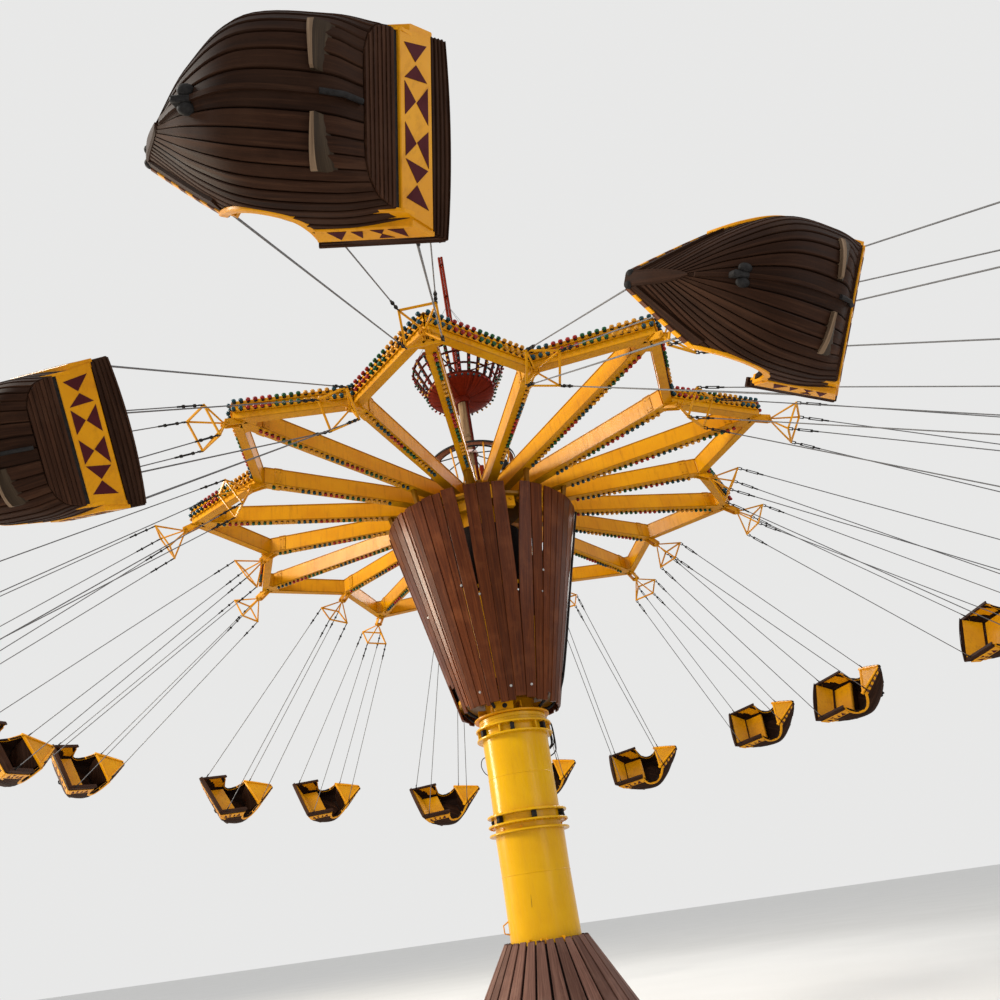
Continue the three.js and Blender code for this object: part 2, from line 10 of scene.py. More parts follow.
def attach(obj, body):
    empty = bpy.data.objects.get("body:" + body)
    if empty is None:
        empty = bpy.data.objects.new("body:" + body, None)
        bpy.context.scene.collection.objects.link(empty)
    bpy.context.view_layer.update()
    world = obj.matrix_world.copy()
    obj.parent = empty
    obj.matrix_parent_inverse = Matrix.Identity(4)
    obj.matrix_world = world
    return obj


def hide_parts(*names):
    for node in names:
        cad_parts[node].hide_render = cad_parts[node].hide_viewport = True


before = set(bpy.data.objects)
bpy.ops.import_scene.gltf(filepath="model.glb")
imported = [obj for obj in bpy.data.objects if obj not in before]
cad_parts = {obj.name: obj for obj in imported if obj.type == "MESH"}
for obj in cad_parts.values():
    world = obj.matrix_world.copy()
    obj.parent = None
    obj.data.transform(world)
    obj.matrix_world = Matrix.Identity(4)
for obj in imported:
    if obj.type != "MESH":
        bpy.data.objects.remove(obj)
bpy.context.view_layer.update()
rng = random.Random(11)

# Sizes that the CAD model was built from, in metres and degrees

ARMS = 20
ARM_STEP = 2 * pi / ARMS
MAST_SIDES = 24
MAST_R = 0.46
FOOT_TOP = 0.0405
FLANGE_R = 0.55
RING_T = 0.025
LOWER_TOP = 2.765
UPPER_FOOT = 2.86
MAST_TOP = 4.06
JOINT_RINGS_APART = 0.11
HEAD_RINGS_APART = 0.138
LEAD_FOOT = 3.62
LEAD_OUT = 0.605
LEAD_ANGLE = -7.5 * 2 * pi / MAST_SIDES
BEARING_R = 0.49
BEARING_TOP = 4.175
TURNTABLE_Z = 4.18
SKIRT_FOOT_R = 1.38
SKIRT_TOP_R = 0.54
SKIRT_TOP = 1.38
HEAD_R = 0.37
MOTOR_AT = 0.455
MOTOR_ANGLE = 1.4 * ARM_STEP
CONE_FOOT = 4.25
CONE_TOP = 7.36
CONE_FOOT_R = 0.738
CONE_TOP_R = 1.58
HUB_R = 0.7
BEAM_FOOT = 7.62
BEAM_TOP = 7.9
ARM_W = 0.15
RIM_W = 0.12
OUTER_R = 4.675
INNER_R = 3.78
GUSSETS = (0.36, 0.2)
PIN_OUT = 0.07
PIN_Z = 7.525
SWINGS = (59.3, 54.5, 57, 54, 57, 58, 61.5, 53, 54.5, 47.5, 54.5, 49.5, 57, 55, 60, 55, 57, 54, 57, 54.5)
TWIST = radians(10)
PENDULUM = 4.75
BRACKET_DROP = 0.36
BRACKET_HALF = 0.21
BRACKET_BAR = 0.026
BOAT_SHIFT = 0.11
STERN_X = -0.79
TRANSOM_SLOPE = 1.242
DECK_X = 0.3
DECK_Z = -0.06
PANEL_X = -0.15
SEAT_Z = -0.29
STERN_EYE = Vector((-0.64, 0.472, 0))
BOW_EYE = Vector((0.35, 0.28, -0.045))
NEST_FOOT = 10.08
BOWL_TOP = 10.23
BOWL_R = 0.63
BOWL_FOOT_R = 0.15
BOWL_WALL = 0.025
BASKET_FOOT_R = 0.61
BASKET_TOP = 10.8
BASKET_R = 0.88
BASKET_RIBS = 24
POLE_R = 0.095
POLE_TOP = 13.86
DOME_R = 0.77
DOME_BAND = 0.15
DOME_RISE = 0.745
DOME_H = 0.26
DOME_POST_R = 0.6
DOME_RIBS = 8

UP = Vector((0, 0, 1))
AHEAD = Vector((0, -1, 0))
SIDES = (-1, 1)
# a solid's axis stays open by this much, and a piece keeps this clear of the next
AXIS_R = 0.001
CLEAR = 0.0005

# The camera, at a standing person's height. The photo's lens bends straight lines, and the
# small shift brings a straight lens nearest to it

EYE = Vector((0.709, -11.135, 1.6))
YAW, PITCH, ROLL = -0.0916, 0.5137, -0.141
LENS = 26.914
LENS_SHIFT = (0.04, 0.0043)

# Points, angles and outlines


def vec(x, y, z):
    return Vector((x, y, z))


def mix(a, b, t):
    return a + (b - a) * t


def steps(count, low=0.0, high=1.0):
    """Evenly spaced numbers, with both ends."""
    return [mix(low, high, i / count) for i in range(count + 1)]


def turns(count, first=0.0):
    """Evenly spaced angles round a circle."""
    return [2 * pi * (i + first) / count for i in range(count)]


def spin(angle):
    """Turns the arm that points along -Y to the arm at this angle, clockwise from above."""
    return Matrix.Rotation(-angle, 4, "Z")


def polar(radius, angle, z=0.0):
    return vec(-radius * sin(angle), -radius * cos(angle), z)


def axes(x, y, z, at):
    """The place that has these axes and this origin."""
    return Matrix.Translation(at) @ Matrix((x, y, z)).transposed().to_4x4()


def circle(at, side, other, radius, sides):
    return [at + (side * cos(t) + other * sin(t)) * radius for t in turns(sides)]


def oblong(left, right, low, high):
    return [(left, low), (right, low), (right, high), (left, high)]


def board(half, back, shoulder, front, chamfer=0.004):
    """A board's section in (across, depth) pairs: its back is flat, its front edges are cut off."""
    return [(-half, back), (half, back), (half, shoulder), (half - chamfer, front), (chamfer - half, front),
            (-half, shoulder)]


def heading(path, i):
    """The way that a path of points takes at one of them."""
    return (path[min(i + 1, len(path) - 1)] - path[max(i - 1, 0)]).normalized()


def lookup(table, x):
    """The value at x on straight lines through (x, value) pairs."""
    for (xa, ya), (xb, yb) in zip(table, table[1:]):
        if x <= xb:
            return mix(ya, yb, (x - xa) / (xb - xa))
    return table[-1][1]


def curve(points, at):
    """A point on the Catmull-Rom curve through points, this many spans from the first."""
    last = len(points) - 1
    i = min(int(at), last - 1)
    t = at - i
    b, c = Vector(points[i]), Vector(points[i + 1])
    a = Vector(points[i - 1]) if i > 0 else b * 2 - c
    d = Vector(points[i + 2]) if i + 2 <= last else c * 2 - b
    return (b * 2 + (c - a) * t + (a * 2 - b * 5 + c * 4 - d) * t * t + (b * 3 - a - c * 3 + d) * t ** 3) / 2


def smooth(points, each):
    """The curve through points, with this many steps for each span."""
    return [curve(points, s / each) for s in range((len(points) - 1) * each + 1)]


# Meshes in the making


class Form:
    """Closed bodies swept from rings, with a tone for each face and grain coordinates in metres."""

    def __init__(self):
        self.points = []
        self.faces = []
        self.tones = []
        self.grain = []

    def sweep(self, rings, tone=0.5, closed=False, along_section=False):
        """Joins rings of equally many points. A tone may be a list, one for each side of the section."""
        rings = [[Vector(p) for p in ring] for ring in rings]
        count = len(rings[0])
        tones = tone if isinstance(tone, list) else [tone] * count
        base = len(self.points)
        for ring in rings:
            self.points.extend(ring)
        widest = max(rings, key=lambda ring: (ring[0] - ring[count // 2]).length)
        around = [0.0]
        for i in range(count):
            around.append(around[-1] + (widest[(i + 1) % count] - widest[i]).length)
        length = 0.0
        shift = rng.random() * 9
        for r in range(len(rings) if closed else len(rings) - 1):
            nxt = (r + 1) % len(rings)
            step = max((rings[nxt][i] - rings[r][i]).length for i in range(0, count, max(1, count // 4)))
            for i in range(count):
                j = (i + 1) % count
                self.faces.append([base + row * count + p for row, p in ((r, i), (r, j), (nxt, j), (nxt, i))])
                for u, v in oblong(around[i], around[i + 1], length, length + step):
                    self.grain.append((u + shift, v) if along_section else (v + shift, u))
                self.tones.append(tones[i])
            length += step
        if not closed:
            for start, ring in ((base, rings[0]), (base + (len(rings) - 1) * count, rings[-1])):
                self.faces.append(range(start, start + count))
                self.grain.extend(((p - ring[0]).length * 0.2, (p - ring[0]).length) for p in ring)
                self.tones.append(tones[0])

    def block(self, low, high, tone=0.5, place=Matrix.Identity(4), bevel=0.004):
        """A box with chamfered edges, from corner to corner, grain along its longest side."""
        size = [b - a for a, b in zip(low, high)]
        axis = size.index(max(size))
        a, b = [i for i in range(3) if i != axis]
        bevel = min(bevel, *(s / 4 for s in size))
        rings = []
        foot, top = low[axis], high[axis]
        for at, inset in ((foot, bevel), (foot + bevel, 0), (top - bevel, 0), (top, bevel)):
            ring = []
            for x, y in ((low[a] + bevel, low[b]), (high[a] - bevel, low[b]), (high[a], low[b] + bevel),
                         (high[a], high[b] - bevel), (high[a] - bevel, high[b]), (low[a] + bevel, high[b]),
                         (low[a], high[b] - bevel), (low[a], low[b] + bevel)):
                point = [at] * 3
                point[a] = min(max(x, low[a] + inset), high[a] - inset)
                point[b] = min(max(y, low[b] + inset), high[b] - inset)
                ring.append(place @ Vector(point))
            rings.append(ring)
        self.sweep(rings, tone)

    def tube(self, path, radius, sides=8, tone=0.5):
        """A round bar along points. Radius may be a list, one for each point."""
        path = [Vector(p) for p in path]
        radii = radius if isinstance(radius, list) else [radius] * len(path)
        side = (path[1] - path[0]).normalized().orthogonal().normalized()
        rings = []
        for i, point in enumerate(path):
            way = heading(path, i)
            side = (side - way * side.dot(way)).normalized()
            rings.append(circle(point, side, way.cross(side), radii[i], sides))
        self.sweep(rings, tone)

    def turned(self, profile, sides=64, tone=0.5, along=False, centre=(0, 0)):
        """A closed profile of (radius, height) pairs turned about Z."""
        self.sweep([[vec(centre[0] + r * sin(t), centre[1] - r * cos(t), z) for r, z in profile]
                    for t in turns(sides)], tone, closed=True, along_section=along)

    def spindle(self, at, way, profile, sides, tone):
        """Round steps of (radius, rise) along an axis."""
        side = way.orthogonal().normalized()
        other = way.cross(side)
        self.sweep([circle(at + way * rise, side, other, radius, sides) for radius, rise in profile], tone)

    def bolt(self, at, axis, size=0.012, tone=0.5):
        """A washer and a hexagon head."""
        axis = axis.normalized()
        self.spindle(at, axis, ((size * 1.5, 0), (size * 1.5, size * 0.25)), 12, tone)
        self.spindle(at, axis, ((size, 0), (size, size * 0.8), (size * 0.85, size)), 6, tone)

    def mesh(self, name, material, crease=32):
        data = bpy.data.meshes.new(name)
        data.from_pydata(self.points, [], self.faces)
        data.uv_layers.new(name="grain").data.foreach_set("uv", [x for pair in self.grain for x in pair])
        data.attributes.new("tone", "FLOAT", "FACE").data.foreach_set("value", self.tones)
        work = bmesh.new()
        work.from_mesh(data)
        bmesh.ops.recalc_face_normals(work, faces=work.faces)
        work.to_mesh(data)
        work.free()
        data.shade_smooth()
        data.set_sharp_from_angle(angle=radians(crease))
        data.materials.append(material)
        return data

    def stand(self, name, material, body, slot, *replaced, crease=32):
        stand(self.mesh(name, material, crease), name, body, slot, replaced)


def link(name, data):
    made = bpy.data.objects.new(name, data)
    bpy.context.scene.collection.objects.link(made)
    return made


def stand(data, name, body, slot, replaced=()):
    """Puts a mesh in the scene, riding on a body, in place of CAD nodes; the slot is not used."""
    piece = link(name, data)
    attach(piece, body)
    if replaced:
        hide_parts(*replaced)


def make_camera():
    ahead = vec(sin(YAW) * cos(PITCH), cos(YAW) * cos(PITCH), sin(PITCH))
    level = vec(cos(YAW), -sin(YAW), 0)
    upright = level.cross(ahead)
    right = cos(ROLL) * level + sin(ROLL) * upright
    top = cos(ROLL) * upright - sin(ROLL) * level
    data = bpy.data.cameras.new("camera")
    data.sensor_width = 36
    data.lens = LENS
    data.shift_x, data.shift_y = LENS_SHIFT
    data.clip_end = 200
    camera = link("camera", data)
    camera.matrix_world = axes(right, top, -ahead, EYE)
    bpy.context.scene.camera = camera


make_camera()

# Materials


class Look:
    """A material's nodes, added one call at a time."""

    def __init__(self, name, **inputs):
        self.material = bpy.data.materials.new(name)
        self.material.use_nodes = True
        self.tree = self.material.node_tree
        self.surface = self.tree.nodes["Principled BSDF"]
        for key, value in {"Coat_Roughness": 0.12, **inputs}.items():
            self.surface.inputs[key.replace("_", " ")].default_value = value
        self.at = self.add("TexCoord", output=3)

    def add(self, kind, output=0, settings=None, **inputs):
        """A node with its sockets filled by name, or by number after an i."""
        node = self.tree.nodes.new("ShaderNode" + kind)
        for key, value in (settings or {}).items():
            setattr(node, key, value)
        for key, value in inputs.items():
            socket = node.inputs[int(key[1:]) if key[1:].isdigit() else key.replace("_", " ")]
            if isinstance(value, bpy.types.NodeSocket):
                self.tree.links.new(value, socket)
            else:
                socket.default_value = value
        return node.outputs[output]

    def set(self, name, value):
        self.tree.links.new(value, self.surface.inputs[name])

    def math(self, operation, *values):
        sockets = {f"i{n}": value for n, value in enumerate(values)}
        return self.add("Math", settings={"operation": operation}, **sockets)

    def noise(self, at, scale, detail, roughness=0.5, **more):
        return self.add("TexNoise", Vector=at, Scale=scale, Detail=detail, Roughness=roughness, **more)

    def grain(self):
        return self.add("UVMap", settings={"uv_map": "grain"})

    def ramp(self, value, *stops):
        colour = self.add("ValToRGB", i0=value)
        elements = colour.node.color_ramp.elements
        while len(elements) < len(stops):
            elements.new(0.5)
        for element, (at, rgb) in zip(elements, stops):
            element.position = at
            element.color = (*rgb, 1)
        return colour

    def spread(self, value, low, high, from_low=0.3, from_high=0.7):
        ends = {"From_Min": from_low, "From_Max": from_high, "To_Min": low, "To_Max": high}
        return self.add("MapRange", Value=value, **ends)

    def bump(self, height, strength, distance):
        self.set("Normal", self.add("Bump", Strength=strength, Distance=distance, Height=height))

    def tone(self):
        return self.add("Attribute", output=2, settings={"attribute_name": "tone"})

    def over(self, mask, colour, rgb):
        """One colour over another where the mask is."""
        return self.add("Mix", output=2, settings={"data_type": "RGBA"}, i0=mask, i6=colour, i7=(*rgb, 1))

    def shaded(self, colour, value):
        """Colour times a value."""
        return self.add("VectorMath", settings={"operation": "SCALE"}, i0=colour, Scale=value)


def paint_look(name, light, dark, dirt, roughness=(0.28, 0.44), grime=0.5, toned=True, coat=0.05):
    """Gloss paint on steel: soft changes of colour, grime in runs, and a slightly uneven skin."""
    look = Look(name, Coat_Weight=coat, Specular_IOR_Level=0.1)
    broad = look.noise(look.at, 1.7, 4.0, 0.6)
    runs = look.noise(look.add("Mapping", Vector=look.at, Scale=(9.0, 9.0, 1.1)), 2.0, 6.0, 0.65)
    specks = look.noise(look.at, 55.0, 3.0, 0.7)
    mask = look.math("MAXIMUM", look.spread(runs, 0.0, grime, 0.52, 0.8),
                     look.spread(specks, 0.0, grime * 0.8, 0.66, 0.78))
    colour = look.over(mask, look.ramp(broad, (0.3, dark), (0.7, light)), dirt)
    if toned:
        colour = look.shaded(colour, look.spread(look.tone(), 0.3, 1.7, 0.0, 1.0))
    look.set("Base Color", colour)
    look.set("Roughness", look.spread(runs, *roughness, 0.35, 0.75))
    look.bump(look.noise(look.at, 26.0, 2.0), 0.25, 0.002)
    return look.material


def wood_look(name, dark, middle, light, roughness=(0.42, 0.68), coat=0.0, patina=None):
    """Stained boards: grain along each board, a tone of its own for each, and weathered patches."""
    look = Look(name, Coat_Weight=coat, Coat_Roughness=0.24, Specular_IOR_Level=0.05)
    tone = look.tone()
    across, up = look.math("MULTIPLY", tone, 31.0), look.math("MULTIPLY", tone, 17.0)
    shift = look.add("CombineXYZ", X=across, Y=up, Z=0.0)
    moved = look.add("VectorMath", settings={"operation": "ADD"}, i0=look.grain(), i1=shift)
    long_grain = look.add("Mapping", Vector=moved, Scale=(1.3, 26.0, 1.0))
    broad = look.noise(long_grain, 1.0, 7.0, 0.62, Distortion=0.7)
    fine = look.noise(look.add("Mapping", Vector=moved, Scale=(7.0, 210.0, 1.0)), 1.0, 4.0, 0.6)
    figure = look.math("ADD", look.math("MULTIPLY", broad, 0.72), look.math("MULTIPLY", fine, 0.28))
    colour = look.ramp(figure, (0.3, dark), (0.52, middle), (0.72, light))
    if patina:
        patches = look.noise(look.at, 2.4, 5.0, 0.6)
        colour = look.over(look.spread(patches, 0.0, 0.6, 0.5, 0.72), colour, patina)
    look.set("Base Color", look.shaded(colour, look.math("MULTIPLY_ADD", tone, 1.1, 0.45)))
    look.set("Roughness", look.spread(figure, *roughness))
    look.bump(figure, 0.6, 0.0016)
    return look.material


def steel_look(name, colour, roughness, lay=0.0, metallic=0.85):
    """Galvanised or blackened steel; lay above nothing adds the twist of a wire rope."""
    look = Look(name, Roughness=roughness, Metallic=metallic, Specular_IOR_Level=0.5 if metallic else 0.08)
    mottle = look.noise(look.at, 38.0, 4.0, 0.6)
    pale = tuple(min(1, c * 1.35 + 0.01) for c in colour)
    look.set("Base Color", look.ramp(mottle, (0.35, colour), (0.7, pale)))
    look.set("Roughness", look.spread(mottle, roughness - 0.08, roughness + 0.12))
    if lay:
        slanted = look.add("Mapping", Vector=look.grain(), Rotation=(0.0, 0.0, 0.9))
        look.bump(look.add("TexWave", output=1, Vector=slanted, Scale=lay), 0.8, 0.002)
    else:
        look.bump(mottle, 0.3, 0.001)
    return look.material


def lamp_look(name, colour):
    """A coloured lamp cover: glossy, faintly see-through, a little dusty."""
    look = Look(name, Roughness=0.22, Specular_IOR_Level=0.3, Subsurface_Weight=0.15,
                Subsurface_Radius=(0.01, 0.01, 0.01))
    dust = look.noise(look.at, 45.0, 3.0)
    look.set("Base Color", look.ramp(dust, (0.36, tuple(c * 0.45 for c in colour)), (0.58, colour)))
    look.set("Roughness", look.spread(dust, 0.14, 0.36))
    return look.material


GOLD = paint_look("gold_paint", (0.64, 0.285, 0.002), (0.54, 0.21, 0.002), (0.2, 0.06, 0.003))
MAST_GOLD = paint_look("mast_paint", (0.6, 0.325, 0.002), (0.54, 0.27, 0.002), (0.32, 0.14, 0.006),
                       roughness=(0.22, 0.36), grime=0.3, toned=False, coat=0.14)
MAROON = paint_look("maroon_paint", (0.062, 0.007, 0.01), (0.045, 0.005, 0.007), (0.02, 0.006, 0.006),
                    roughness=(0.6, 0.75), toned=False, coat=0.0)
PALE = paint_look("pale_paint", (0.72, 0.56, 0.53), (0.6, 0.45, 0.42), (0.3, 0.2, 0.18))
PLANKS = wood_look("cone_planks", (0.028, 0.006, 0.002), (0.082, 0.019, 0.004), (0.15, 0.04, 0.01),
                   roughness=(0.34, 0.5), coat=0.16, patina=(0.15, 0.045, 0.014))
SLATS = wood_look("skirt_slats", (0.048, 0.022, 0.017), (0.115, 0.057, 0.043), (0.21, 0.113, 0.083),
                  patina=(0.19, 0.108, 0.083))
HULL = wood_look("hull_boards", (0.008, 0.0034, 0.0018), (0.026, 0.0105, 0.0055), (0.058, 0.027, 0.015),
                 roughness=(0.5, 0.7), patina=(0.04, 0.019, 0.011))
FIN = wood_look("fin_wood", (0.018, 0.011, 0.007), (0.045, 0.03, 0.019), (0.09, 0.064, 0.042))
NEST = wood_look("nest_wood", (0.045, 0.004, 0.001), (0.125, 0.0095, 0.002), (0.21, 0.021, 0.005),
                 roughness=(0.35, 0.55))
RIBS = wood_look("nest_rib_wood", (0.02, 0.002, 0.001), (0.055, 0.006, 0.002), (0.1, 0.012, 0.004))
POLE = wood_look("pole_wood", (0.06, 0.03, 0.015), (0.2, 0.12, 0.06), (0.36, 0.25, 0.14))
CAGE = wood_look("cage_boards", (0.16, 0.075, 0.06), (0.3, 0.16, 0.13), (0.42, 0.26, 0.22))
BLACK = steel_look("black_fittings", (0.01, 0.009, 0.009), 0.6, metallic=0.0)
# a near-black used as painted shade inside the skirt and inside the cone
PAINTED_SHADE = steel_look("painted_shade_inside", (0.01, 0.006, 0.005), 0.85, metallic=0.0)
STEEL = steel_look("bright_steel", (0.36, 0.36, 0.35), 0.38)
CABLE = steel_look("wire_rope", (0.12, 0.12, 0.125), 0.55, lay=40.0)
# each lamp's own hue, made darker throughout: partly painted shade, for lamps seen against the light
LAMPS = {
    "teal": lamp_look("lamp_teal", (0.0, 0.045, 0.062)),
    "red": lamp_look("lamp_red", (0.3, 0.008, 0.004)),
    "green": lamp_look("lamp_green", (0.0, 0.07, 0.016)),
    "yellow": lamp_look("lamp_yellow", (0.55, 0.24, 0.01)),
}

for node in ("hub_deck", "cone_frame", "foot_plate"):
    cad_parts[node].data.materials.clear()
    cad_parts[node].data.materials.append(GOLD)

# The skirt of slats round the mast's foot

SLAT_COUNT = 29


def make_skirt():
    slats = Form()
    half_pitch = pi / SLAT_COUNT
    out = vec(SKIRT_TOP, 0, SKIRT_FOOT_R - SKIRT_TOP_R).normalized()
    for angle in turns(SLAT_COUNT, 0.35):
        half_foot = SKIRT_FOOT_R * half_pitch * rng.uniform(0.84, 0.9)
        half_top = SKIRT_TOP_R * half_pitch * rng.uniform(0.72, 0.86)
        drop = rng.uniform(0, 0.03)
        rings = []
        for t in (0.0, 0.004, 0.25, 0.5, 0.75, 0.996, 1 - drop / SKIRT_TOP):
            r = mix(SKIRT_FOOT_R, SKIRT_TOP_R, t) - 0.003
            section = board(mix(half_foot, half_top, t), -0.024, -0.004, 0)
            rings.append([spin(angle) @ vec(x, -r - d * out.x, max(0.001, SKIRT_TOP * t + d * out.z))
                          for x, d in section])
        slats.sweep(rings, rng.uniform(0.25, 0.75))
    slats.stand("skirt_slats", SLATS, "mast", "slats", "base_skirt")
    # a dark lining inside the slats, with three hoops: painted shade behind the gaps between the slats
    lining = Form()
    low, high, inner = SKIRT_TOP - 0.07, SKIRT_TOP - 0.05, MAST_R + 0.004
    lining.turned([(SKIRT_FOOT_R - 0.06, 0.002), (SKIRT_FOOT_R - 0.05, 0.002), (SKIRT_TOP_R - 0.035, high),
                   (inner, high), (inner, low), (SKIRT_TOP_R - 0.05, low)], 48)
    for z, r in ((0.16, 1.24), (0.72, 0.9), (1.2, 0.61)):
        lining.turned([(r - 0.05, z), (r, z), (r - 0.02, z + 0.05), (r - 0.05, z + 0.05)], 48, 0.6)
    lining.stand("skirt_shade_lining", PAINTED_SHADE, "mast", "slats")


# The mast's two tubes, their rings, bolts and blocks

JOINT_RING = LOWER_TOP - RING_T
LOW_JOINT_RING = JOINT_RING - JOINT_RINGS_APART
HEAD_RING = MAST_TOP - RING_T
LOW_HEAD_RING = HEAD_RING - HEAD_RINGS_APART


def rounded_ring(z, soft=0.005):
    """The part of a turned profile that makes one ring on the mast, from its underside up."""
    top = z + RING_T
    inner, root, edge = MAST_R + 0.012, MAST_R + 0.02, FLANGE_R - soft
    return [(inner, z - 0.001), (root, z), (edge, z), (FLANGE_R, z + soft), (FLANGE_R, top - soft),
            (edge, top), (root, top), (inner, top + 0.001)]


def weld(z):
    bead = MAST_R + 0.004
    return [(MAST_R, z - 0.008), (bead, z - 0.003), (bead, z + 0.003), (MAST_R, z + 0.008)]


def make_mast():
    inside = MAST_R - 0.012
    lower = Form()
    lower.turned([(inside, FOOT_TOP), *rounded_ring(FOOT_TOP)[2:], (MAST_R, 0.08), *weld(1.1), *weld(2.13),
                  *rounded_ring(LOW_JOINT_RING), (MAST_R, LOW_JOINT_RING + 0.04), (MAST_R, JOINT_RING - 0.01),
                  *rounded_ring(JOINT_RING)[:6], (inside, LOWER_TOP)], 96)
    lower.stand("mast_lower_skin", MAST_GOLD, "mast", "gold_paint", "mast_lower")
    upper = Form()
    upper.turned([(inside, UPPER_FOOT), *rounded_ring(UPPER_FOOT)[2:], (MAST_R, UPPER_FOOT + 0.04),
                  *weld(3.36), *rounded_ring(LOW_HEAD_RING), (MAST_R, LOW_HEAD_RING + 0.04),
                  (MAST_R, HEAD_RING - 0.01), *rounded_ring(HEAD_RING)[:6], (inside, MAST_TOP)], 96)
    between = LOW_HEAD_RING + 0.02
    for angle in turns(6, -0.3):
        upper.block((-0.012, -0.53, between), (0.012, -0.45, HEAD_RING + 0.005), 0.5, spin(-angle))
    upper.stand("mast_upper_skin", MAST_GOLD, "mast", "gold_paint", "mast_upper")

    collar = Form()
    low, high = LOWER_TOP + CLEAR, UPPER_FOOT - CLEAR
    collar.turned(oblong(inside, MAST_R, low, high), 96)
    collar.stand("joint_collar", MAST_GOLD, "mast", "gold_paint", "mast_joint_ring")
    blocks = Form()
    for angle, side in zip(turns(6, 0.25), turns(6, 0.1)):
        place = spin(-angle)
        blocks.block((-0.032, -0.525, low), (0.032, -0.455, high), 0.3, place, 0.006)
        for x in (-0.016, 0.016):
            for z in (low + 0.02, high - 0.02):
                blocks.bolt(place @ vec(x, -0.525, z), place.to_3x3() @ AHEAD, 0.008)
        blocks.block((-0.06, -0.522, between + 0.01), (0, -0.456, HEAD_RING - 0.008), 0.3, spin(-side), 0.006)
    blocks.stand("mast_blocks", BLACK, "mast", "rubber")

    bolts = Form()
    for z, way in ((JOINT_RING, -1), (UPPER_FOOT + RING_T, 1), (HEAD_RING, -1)):
        for angle in turns(36, 0.5):
            bolts.bolt(polar(0.518, angle, z), UP * way, 0.011)
    for angle in turns(16):
        bolts.bolt(polar(0.62, angle, 0.04), UP, 0.018)
    for angle in (0.15, 0.75, 2.4, 3.5, 4.9):
        bolts.bolt(polar(MAST_R, angle, JOINT_RING - 0.05), polar(1, angle), 0.013, 0.6)
    bolts.stand("mast_bolts", GOLD, "mast", "gold_paint")

    small = Form()
    small.tube([spin(1.36) @ vec(0, -MAST_R - r, z) for r, z in
                ((-0.005, 1.47), (0.06, 1.49), (0.065, 1.58), (-0.005, 1.62))], 0.009, 6)
    for angle in (0.05, -0.09, 0.35, -0.5, 2.2):
        small.block((-0.012, -0.545, SKIRT_TOP - 0.06), (0.012, -0.475, SKIRT_TOP + 0.012), 0.5, spin(angle))
    small.stand("mast_brackets", GOLD, "mast", "gold_paint")
    loop = Form()
    path = smooth([(0, -MAST_R, 3.7), (0.01, -MAST_R - 0.055, 3.66), (0.02, -MAST_R - 0.075, 3.57),
                   (0.03, -MAST_R - 0.04, 3.48), (0.03, -MAST_R + 0.002, 3.44)], 6)
    loop.tube([spin(1.46) @ p for p in path], 0.006)
    # a scratch down the paint
    loop.tube([polar(MAST_R + CLEAR, 0.19, 1.74), polar(MAST_R + CLEAR, 0.172, 1.88)], [0.003, 0.0015], 5)
    loop.stand("mast_wire_loop", BLACK, "mast", "rubber")


def make_lead():
    """The power lead along the mast's right side, on the route of its solid, and two conduits beside it."""
    facet = cos(pi / MAST_SIDES)
    skin, bearing = MAST_R * facet, BEARING_R * facet
    route = [(skin + 0.0003, LEAD_FOOT), (skin + 0.04, LEAD_FOOT), (LEAD_OUT - 0.03, LEAD_FOOT + 0.05),
             (LEAD_OUT, LEAD_FOOT + 0.13), (LEAD_OUT, MAST_TOP - 0.06), (LEAD_OUT - 0.03, MAST_TOP + 0.02),
             (bearing + 0.04, MAST_TOP + 0.06), (bearing + 0.0003, MAST_TOP + 0.06)]
    conduit = [(MAST_R + 0.002, 3.7), (MAST_R + 0.05, 3.73), (0.575, 3.8), (0.58, 3.95), (0.575, 4.06),
               (0.53, 4.12), (0.4905, 4.13)]
    lead, extra = Form(), Form()
    for form, points, each, side, size, sides in (
            (lead, route, 8, 0, 0.0088, 12), (extra, conduit, 6, 0.09, 0.011, 10),
            (extra, conduit, 6, -0.1, 0.016, 10)):
        path = smooth([(0, -r, z) for r, z in points], each)
        form.tube([spin(LEAD_ANGLE + side) @ p for p in path], size, sides)
    lead.stand("power_lead_sheath", BLACK, "mast", "rubber", "power_lead")
    extra.stand("mast_conduits", BLACK, "mast", "rubber")


def make_bearing():
    bearing = Form()
    bore, edge, groove = 0.0612, BEARING_R - 0.004, BEARING_R - 0.008
    low, high, middle = MAST_TOP + CLEAR, BEARING_TOP, (MAST_TOP + BEARING_TOP) / 2
    bearing.turned([(bore, low), (edge, low), (BEARING_R, low + 0.004), (BEARING_R, middle - 0.006),
                    (groove, middle - 0.002), (groove, middle + 0.002), (BEARING_R, middle + 0.006),
                    (BEARING_R, high - 0.004), (edge, high), (bore, high)], 72)
    bearing.stand("slewing_ring", MAST_GOLD, "mast", "gold_paint", "slewing_bearing")


make_skirt()
make_mast()
make_lead()
make_bearing()

# The turning head, its motor and the planked cone


